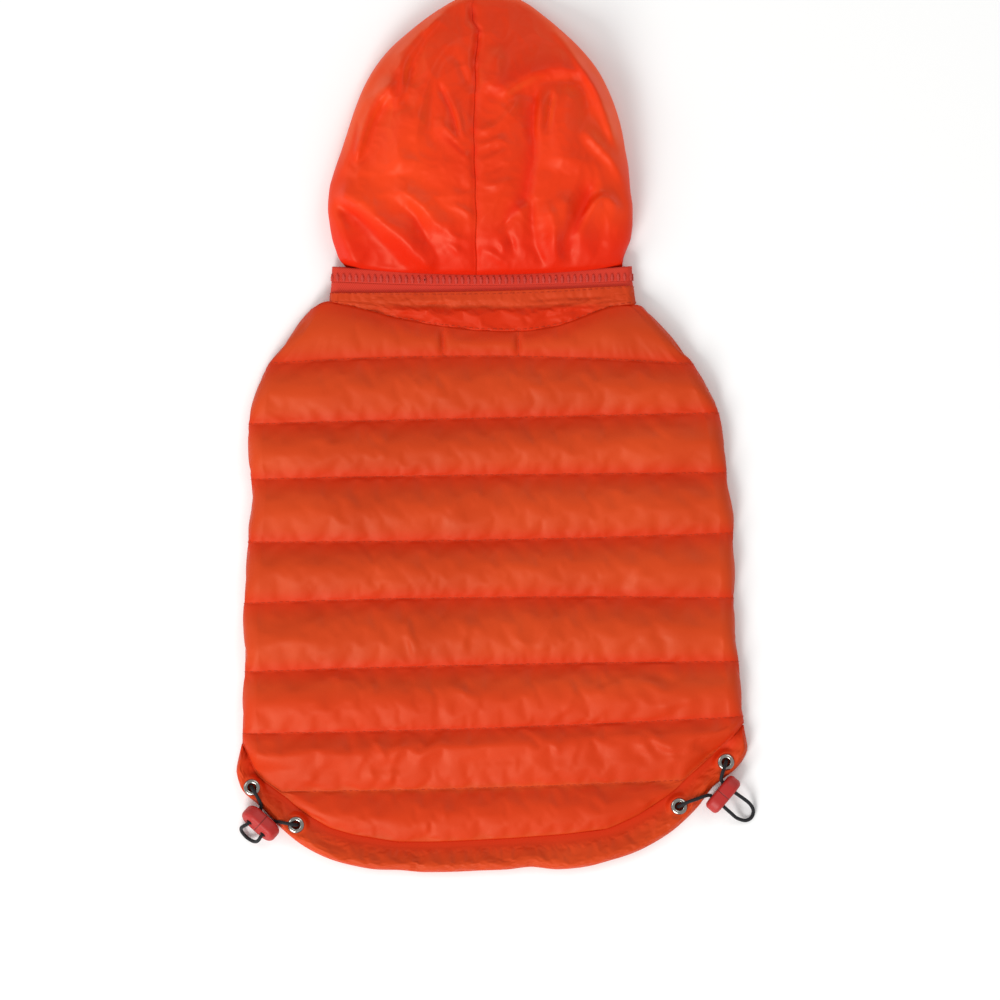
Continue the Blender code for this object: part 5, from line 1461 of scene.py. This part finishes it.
hemCasing = {
    "from": (-2.0, -100.0),     # stations are turned about this point
    "angles": (204.4, 340.0),
    "stations": 240, "soft": 2,
    "section": (                # (share of the way from seam to free edge, z over the floor)
        (0.0, 1.8), (0.06, 2.1), (0.2, 2.8), (0.35, 4.0), (0.5, 5.4), (0.63, 6.6), (0.74, 7.2),
        (0.83, 6.9), (0.91, 5.6), (0.96, 4.0), (0.99, 2.9), (1.0, 2.0), (0.985, 1.2), (0.95, 0.5),
        (0.9, 0.1), (0.8, 0.0), (0.6, 0.0), (0.4, 0.0), (0.2, 0.0), (0.05, 0.2), (0.0, 1.0),
    ),
    "sectionPoints": 44,
    "endStations": 9, "endShare": 0.6,          # it tapers to its two ends
    "tuck": 1.0,                # it is sewn this far in under the back's edge
    "underLock": (-110.0, -189.0, 2.4, 9.0),    # x and y where it reaches under a lock, how far, how wide
    "flange": 4.5, "flangeRun": 2.6, "flangeSink": 0.12,    # pressed flat under each eyelet
    "holeRadius": 2.4, "holeRun": 0.8, "holeSpare": 0.5, "holeDepth": 3.2,
    "pinFrom": 3.2, "pinRun": 1.2, "pinRound": 5.0,     # below this height it is held, and at eyelets
    "uneven": 0.25, "unevenSize": 6.0,
    "overFrom": 2.0,            # only its top is pressed
    "redWidth": 7.0,            # painted shade, redder by the hem seam
}
casingFilling = {
    "pressure": 0.5, "excess": 0.012, "mass": 0.02, "stretch": 10.0, "shear": 3.0, "bend": 1.0,
    "damping": 5.0, "air": 1.0, "quality": 6, "frames": 18, "reach": 0.9,
}


def casingLines():
    # points on the seam side and on the free edge, at each station
    spans, ways = [], []
    for angle in np.radians(np.linspace(*hemCasing["angles"], hemCasing["stations"])):
        way = np.array((math.cos(angle), math.sin(angle)))
        spans.append(cutSpan("hem_casing", hemCasing["from"], way))
        ways.append(way)
    spans, ways, start = np.array(spans), np.array(ways), np.array(hemCasing["from"])
    seam, edge = (softened(span, hemCasing["soft"]) for span in spans.T)
    lockX, lockY, reach, width = hemCasing["underLock"]
    x, y = (start + ways * edge[:, None]).T
    edge += reach * bump(np.hypot(x - lockX, y - lockY), width)
    return start + ways * (seam - hemCasing["tuck"])[:, None], start + ways * edge[:, None]


def casingGrid():
    # the casing's section at each station, turned about the middle of the back
    seam, edge = casingLines()
    shares, heights = np.array(hemCasing["section"]).T
    width = np.linalg.norm(edge - seam, axis=1).mean()
    way = np.concatenate(([0.0], np.cumsum(np.hypot(np.diff(shares) * width, np.diff(heights)))))
    marks = np.linspace(0.0, way[-1], hemCasing["sectionPoints"])
    shares, heights = np.interp(marks, way, shares), np.interp(marks, way, heights)
    rows, count = [], hemCasing["stations"]
    for i, (inner, outer) in enumerate(zip(seam, edge)):
        full = smooth((min(i, count - 1 - i) + 0.5) / hemCasing["endStations"])
        flat = inner + (outer - inner) * shares[:, None] * lerp(hemCasing["endShare"], 1.0, full)
        left, right = body["rear"]
        inward = min(inner[0] - left[0], right[0] - inner[0]) / body["fold"]
        drop = math.sqrt(1.0 - (1.0 - min(max(inward, 0.0), 1.0)) ** 2)      # over the back's round side
        floor = tailFloor(*inner) * drop * (1.0 - shares) * smooth(heights)
        z = (heights + floor) * lerp(hemCasing["endShare"], 1.0, full)
        rows.append(np.concatenate((flat, z[:, None]), axis=1)[::-1])
    return np.array(rows)


def solidPiece(name, grid, material):
    # a tube of cloth with closed ends
    rows, columns = grid.shape[:2]
    faces = gridFaces(rows, columns, True)
    faces += [tuple(range(columns)), tuple(range(rows * columns - 1, (rows - 1) * columns - 1, -1))]
    return meshPiece(name, grid.reshape(-1, 3), faces, material, gridUv(grid).reshape(-1, 2))


def pressedByEyelets(grid):
    # the cloth lies under each flange, and the hole goes down through it
    look = hemCasing
    for side, end in eyelets:
        seat = eyeletSeat(side, end)
        away = np.hypot(grid[..., 0] - seat.x, grid[..., 1] - seat.y)
        hole = smooth((look["holeRadius"] + look["holeSpare"] - away) / look["holeRun"])
        level = seat.z - look["flangeSink"] - look["holeDepth"] * hole
        near = 1.0 - smooth((away - look["flange"]) / look["flangeRun"])
        near = near * smooth(grid[..., 2] - look["overFrom"])
        grid[..., 2] = lerp(grid[..., 2], level, near)
    return grid


def casingRed(grid):
    # painted shade, redder by the hem seam
    seam, _ = casingLines()
    seam = np.repeat(seam, 2, axis=0)[:len(grid)]
    away = np.hypot(grid[..., 0] - seam[:, None, 0], grid[..., 1] - seam[:, None, 1])
    return bump(away, hemCasing["redWidth"])


def addHemCasing(material):
    grid, look = casingGrid(), hemCasing
    pins = 1.0 - smooth((grid[..., 2] - look["pinFrom"]) / look["pinRun"])
    for side, end in eyelets:
        seat = eyeletSeat(side, end)
        pins[np.hypot(grid[..., 0] - seat.x, grid[..., 1] - seat.y) < look["pinRound"]] = 1.0
    pins = np.round(pins, 1)
    pins[[0, -1]] = 1.0
    grid[..., 2] += look["uneven"] * grain(grid, look["unevenSize"], 31) * (pins < 1.0)
    grid = settle(grid, pins, casingFilling, closed=True)
    grid = pressedByEyelets(refine(grid, True))
    piece = solidPiece("hemCasingRolled", grid, material)
    # painted shade by the hem seam
    paintShading(piece, casingRed(grid))
    wear(piece, "quilted_cloth", "hem_casing")


addHemCasing(nylon)
print("hem casing ready")


belly = {
    "front": 61.5, "rear": (-136.8, -126.8),        # the rear seam slants, left and right
    "seamGap": 0.4,             # from the panel to its casing
    "casingEdge": (-150.6, -140.6),
    "height": 4.4, "round": 1.6, "roundSteps": 5,
    "endHeight": 0.45, "endRows": 3.0,      # its ends are round too, over this many rows
    "rows": 170, "casingRows": 22, "columns": 60,
    "uneven": 0.25, "unevenSize": 12.0, "overShare": 0.9,   # on its top, from this share of its height
}


def slabSection(left, right, height):
    # round a flat pad: over its top from left to right, and back along its flat underside, where
    # its corners are half as round
    corner = belly["round"]
    a = np.linspace(0.0, 0.5 * math.pi, belly["roundSteps"])
    across, up = corner * (1.0 - np.cos(a)), corner * np.sin(a)
    t = np.linspace(0.0, 1.0, belly["columns"])[1:-1]
    width = right - left - 2.0 * corner
    xs = [left + across, left + corner + width * t, right - across[::-1]]
    zs = [height - corner + up, 0.0 * t + height, height - corner + up[::-1]]
    down = 0.5 * (corner - up)
    xs += [right - 0.5 * across, right - corner - width * t[::2], left + 0.5 * across[::-1]]
    zs += [down, 0.0 * t[::2], down[::-1]]
    return np.concatenate(xs), np.concatenate(zs)


def addPad(name, node, ends, rows, material):
    # a flat pad whose outline is read from its node, between a front and a rear line
    points, _ = nodeMesh(node)
    left, right = sideEdges(node, points[:, 1].min(), points[:, 1].max(), 1)
    (frontLeft, frontRight), (rearLeft, rearRight) = ends
    grid = []
    for t in np.linspace(0.0, 1.0, rows):
        leftY, rightY = lerp(frontLeft, rearLeft, t), lerp(frontRight, rearRight, t)
        end = smooth(min(t, 1.0 - t) * rows / belly["endRows"])
        height = belly["height"] * lerp(belly["endHeight"], 1.0, math.sqrt(end))
        leftX, rightX = left(leftY), right(rightY)
        x, z = slabSection(leftX, rightX, height)
        y = lerp(leftY, rightY, (x - leftX) / (rightX - leftX))
        grid.append(np.stack((x, y, z), 1))
    grid = np.array(grid)
    over = grid[..., 2] > belly["height"] * belly["overShare"]
    grid[..., 2] += belly["uneven"] * grain(grid, belly["unevenSize"], 7) * over
    piece = solidPiece(name, grid, material)
    wear(piece, "quilted_cloth", node)


panelEnds = (belly["front"],) * 2, belly["rear"]
casingEnds = [y - belly["seamGap"] for y in belly["rear"]], belly["casingEdge"]
addPad("bellyPanelPad", "belly_panel", panelEnds, belly["rows"], nylon)
addPad("bellyCasingRolled", "belly_casing", casingEnds, belly["casingRows"], nylon)
print("belly ready")


def addEyelets(material):
    # the profile turned about each eyelet's middle, and closed from its last ring to its first
    segments, profile = eyeletShape["segments"], eyeletShape["profile"]
    a = np.linspace(0.0, 2.0 * math.pi, segments, endpoint=False)
    across, up = np.cos(a), np.sin(a)
    faces = gridFaces(len(profile), segments, True)
    last = (len(profile) - 1) * segments
    for j in range(segments):
        k = (j + 1) % segments
        faces.append((last + j, last + k, k, j))
    for side, end in eyelets:
        seat = eyeletSeat(side, end)
        rings = [(seat.x + radius * across, seat.y + radius * up, 0.0 * a + seat.z + z)
                 for radius, z in profile]
        points = np.concatenate([np.stack(ring, 1) for ring in rings])
        piece = meshPiece(f"eyelet{side.title()}{end.title()}", points, faces, material, points[:, :2] * mm)
        outwards(piece)
        wear(piece, "eyelet_metal", f"eyelet_{side}_{end}")


addEyelets(nickel)
print("eyelets ready")


def cappedFaces(rings, sides):
    # round a stack of rings, and over its two ends
    last = (rings - 1) * sides
    return gridFaces(rings, sides, True) + [tuple(range(sides)), tuple(range(last, last + sides))]


def lockBody(name, place, material):
    # round-ended, with its edges rounded all the way
    half, breadth, corner = lockShape["depth"] / 2.0, lockShape["breadth"] / 2.0, lockShape["corner"]
    straight, around = lockShape["length"] / 2.0 - breadth, lockShape["around"]
    a = np.linspace(0.0, 0.5 * math.pi, lockShape["cornerSteps"])
    down, inwards = corner * (1.0 - np.sin(a)), corner * (1.0 - np.cos(a))
    depths = np.concatenate((-half + down[::-1], [0.0], half - down))
    insets = np.concatenate((inwards[::-1], [0.0], inwards))
    turns = (np.arange(around) + 0.5) * 2.0 * math.pi / around
    points, uv = [], []
    for depth, inset in zip(depths, insets):
        radius = breadth - inset
        for turn in turns:
            x = radius * math.cos(turn) + math.copysign(straight, math.cos(turn))
            points.append(place @ Vector((x, depth, radius * math.sin(turn))))
            uv.append((x * mm, depth * mm))
    piece = meshPiece(name, points, cappedFaces(len(depths), around), material, uv)
    outwards(piece)
    return piece


def drill(piece, place):
    # two holes for the cord, each with its rim rounded a little
    hole, reach, sides = lockShape["hole"], lockShape["depth"] / 2.0, lockShape["holeSides"]
    profile = [(hole + wider, inwards - reach) for wider, inwards in lockShape["holeRim"]]
    profile += [(radius, -y) for radius, y in profile[::-1]]
    for side in (-1.0, 1.0):
        middle = side * lockShape["holeSpacing"] / 2.0
        points = []
        for radius, y in profile:
            for turn in np.linspace(0.0, 2.0 * math.pi, sides, endpoint=False):
                spot = Vector((middle + radius * math.cos(turn), y, radius * math.sin(turn)))
                points.append(place @ spot)
        drillBit = meshPiece("drillBit", points, cappedFaces(len(profile), sides), None)
        outwards(drillBit)
        cut = piece.modifiers.new("hole", "BOOLEAN")
        cut.operation, cut.solver, cut.object = "DIFFERENCE", "EXACT", drillBit
        asMesh(piece)
        bpy.data.objects.remove(drillBit)
    outwards(piece, sharp=lockShape["sharpFrom"])


lockPieces = {}
for side in locks:
    lockPieces[side] = lockBody(f"cordLockBean{side.title()}", lockPlace(side), stopperPlastic)
    drill(lockPieces[side], lockPlace(side))
    wear(lockPieces[side], "cord_lock", f"cord_lock_{side}")
print("cord locks ready")


repeats = {                     # small shapes set along a line of the cloth, all sizes in mm
    "stitch": {"length": 2.1, "width": 0.42, "height": 0.34, "spacing": 3.0, "jitter": 0.12, "seed": 3,
               "rings": 5, "sides": 6, "lift": 0.05},
    "tooth": {"length": 2.5, "height": 0.6, "spacing": 3.1, "jitter": 0.015, "seed": 5,
              "centre": 0.55, "rounding": 0.22},
}
toothOutline = (                # half of it, for a tooth that is 3 mm long: a narrow neck and a wide head
    (0.55, -1.5), (0.5, -0.2), (0.72, 0.35), (0.74, 1.0), (0.45, 1.42), (0.0, 1.5),
)


def repeatTree(unit, material):
    # the unit set upright along each line, at even steps, with slightly uneven sizes
    tree = bpy.data.node_groups.new("repeatAlong", "GeometryNodeTree")
    face = tree.interface
    face.new_socket("Geometry", in_out="INPUT", socket_type="NodeSocketGeometry")
    for label in ("Spacing", "Jitter"):
        face.new_socket(label, in_out="INPUT", socket_type="NodeSocketFloat")
    face.new_socket("Seed", in_out="INPUT", socket_type="NodeSocketInt")
    face.new_socket("Geometry", in_out="OUTPUT", socket_type="NodeSocketGeometry")
    given = addNode(tree, "NodeGroupInput")
    lines = addNode(tree, "GeometryNodeMeshToCurve", links={"Mesh": given.outputs["Geometry"]})
    steps = addNode(tree, "GeometryNodeResampleCurve", {"mode": "LENGTH"},
                    {"Curve": lines.outputs["Curve"], "Length": given.outputs["Spacing"]})
    shape = addNode(tree, "GeometryNodeObjectInfo", {"Object": unit})
    up = addNode(tree, "GeometryNodeInputNamedAttribute",
                 {"data_type": "FLOAT_VECTOR", "Name": "outward"})
    tangent = addNode(tree, "GeometryNodeInputTangent")
    upright = addNode(tree, "FunctionNodeAlignRotationToVector", {"axis": "Z"},
                      {"Vector": up.outputs["Attribute"]})
    along = addNode(tree, "FunctionNodeAlignRotationToVector", {"axis": "X", "pivot_axis": "Z"},
                    {"Rotation": upright.outputs["Rotation"], "Vector": tangent.outputs["Tangent"]})
    least, most = (addNode(tree, "ShaderNodeMath", {"operation": way, 0: 1.0}, {1: given.outputs["Jitter"]})
                   for way in ("SUBTRACT", "ADD"))
    size = addNode(tree, "FunctionNodeRandomValue", {"data_type": "FLOAT_VECTOR"},
                   {"Min": least.outputs[0], "Max": most.outputs[0], "Seed": given.outputs["Seed"]})
    placed = addNode(tree, "GeometryNodeInstanceOnPoints", links={
        "Points": steps.outputs["Curve"], "Instance": shape.outputs["Geometry"],
        "Rotation": along.outputs["Rotation"], "Scale": size.outputs["Value"]})
    real = addNode(tree, "GeometryNodeRealizeInstances", links={"Geometry": placed.outputs["Instances"]})
    dressed = addNode(tree, "GeometryNodeSetMaterial", {"Material": material},
                      {"Geometry": real.outputs["Geometry"]})
    addNode(tree, "NodeGroupOutput", links={"Geometry": dressed.outputs["Geometry"]})
    return tree


def repeatAlong(name, lines, unit, sizes, material):
    # lines: (points, outward directions) of each run
    points, edges, outward = [], [], []
    for places, ways in lines:
        edges += [(len(points) + i, len(points) + i + 1) for i in range(len(places) - 1)]
        points += [tuple(place) for place in places]
        outward += [tuple(way) for way in ways]
    piece = meshPiece(name, points, [], None)
    piece.data.edges.add(len(edges))
    piece.data.edges.foreach_set("vertices", np.array(edges).ravel())
    layer = piece.data.attributes.new("outward", "FLOAT_VECTOR", "POINT")
    layer.data.foreach_set("vector", np.array(outward, np.float32).ravel())
    piece.data.update()
    modifier = piece.modifiers.new("repeat", "NODES")
    modifier.node_group = repeatTree(unit, material)
    values = {"Spacing": sizes["spacing"] * mm, "Jitter": sizes["jitter"], "Seed": sizes["seed"]}
    for item in modifier.node_group.interface.items_tree:
        if item.item_type == "SOCKET" and item.in_out == "INPUT" and item.name in values:
            modifier[item.identifier] = values[item.name]
    asMesh(piece)
    bpy.data.objects.remove(unit)
    return piece


def stitchUnit():
    # one lying stitch: a low bead, pointed at both ends
    sizes, points = repeats["stitch"], []
    for share in np.linspace(-1.0, 1.0, sizes["rings"]):
        reach = math.sqrt(max(1.0 - share * share, 0.03))       # its ends keep a small flat face
        for turn in np.linspace(0.0, 2.0 * math.pi, sizes["sides"], endpoint=False):
            points.append((share * sizes["length"] / 2.0, reach * math.cos(turn) * sizes["width"] / 2.0,
                           reach * math.sin(turn) * sizes["height"] / 2.0))
    unit = meshPiece("stitchUnit", points, cappedFaces(sizes["rings"], sizes["sides"]), None)
    outwards(unit)
    return unit


def toothUnit():
    # one moulded tooth seen from above, with its edges rounded
    sizes = repeats["tooth"]
    half = [(x, y * sizes["length"] / 3.0) for x, y in toothOutline]
    ring = half + [(-x, y) for x, y in half[-2::-1]]
    points = [(x, y, z) for z in (0.0, sizes["height"]) for x, y in ring]
    unit = meshPiece("toothUnit", points, cappedFaces(2, len(ring)), None)
    outwards(unit)
    rounding = unit.modifiers.new("rounding", "BEVEL")
    rounding.width, rounding.segments, rounding.limit_method = sizes["rounding"] * mm, 2, "ANGLE"
    return asMesh(unit)


def shownLines(grid, rows, over):
    # a run along each of these rows, where it shows: its points, lifted a little, and outward directions
    normals, shown = gridNormals(grid), slice(*shownColumns(grid, over))
    places = grid + normals * repeats["stitch"]["lift"]
    return [(places[row, shown], normals[row, shown]) for row in rows]


def lineAcross(grid, lineY):
    # a run over a band's grid where its y is that of a line
    normals = gridNormals(grid)
    places, ways = [], []
    for column in range(grid.shape[1]):
        line = grid[::-1, column]
        target = np.clip(lineY(line[0, 0]), line[0, 1], line[-1, 1])
        places.append([np.interp(target, line[:, 1], line[:, k]) for k in range(3)])
        ways.append([np.interp(target, line[:, 1], normals[::-1, column, k]) for k in range(3)])
    return np.array(places), np.array(ways)


def addTeeth():
    # two rows that mesh: their centres are half a spacing apart
    _, upperTape = zipTapes[1]
    offset = repeats["tooth"]["centre"]
    middle = bandLine("teeth")
    lower = lineAcross(upperTape, lambda x: middle(x) - offset)
    places, ways = lineAcross(upperTape, lambda x: middle(x) + offset)
    steps = np.linalg.norm(np.diff(places, axis=0), axis=1)
    start = int(np.searchsorted(np.cumsum(steps), repeats["tooth"]["spacing"] / 2.0)) + 1
    upper = places[start:][::-1], ways[start:][::-1]
    piece = repeatAlong("zipTeethRow", [lower, upper], toothUnit(), repeats["tooth"], teethPlastic)
    wear(piece, "zip_teeth")
    return piece


zipTeeth = addTeeth()
print("zip teeth ready")


def addStitching():
    # sewn lines of the quilting, the neck and the collar's tape
    lines = shownLines(backSurface, backSewn[1:-1], body["wall"])
    edgeRow = collar["stitchedRow"]
    lines += shownLines(collarSurface, (edgeRow, -1 - edgeRow), collar["top"] / 2.0)
    rows, normals = slice(2, backSewn[1]), gridNormals(backSurface)
    for seamX in quilting["leashSeams"]:
        column = columnAt(backSurface, seamX, body["wall"])
        lines.append((backSurface[rows, column], normals[rows, column]))
    wear(repeatAlong("stitching", lines, stitchUnit(), repeats["stitch"], thread), "quilted_cloth")


addStitching()
print("stitching ready")


print("coat ready")
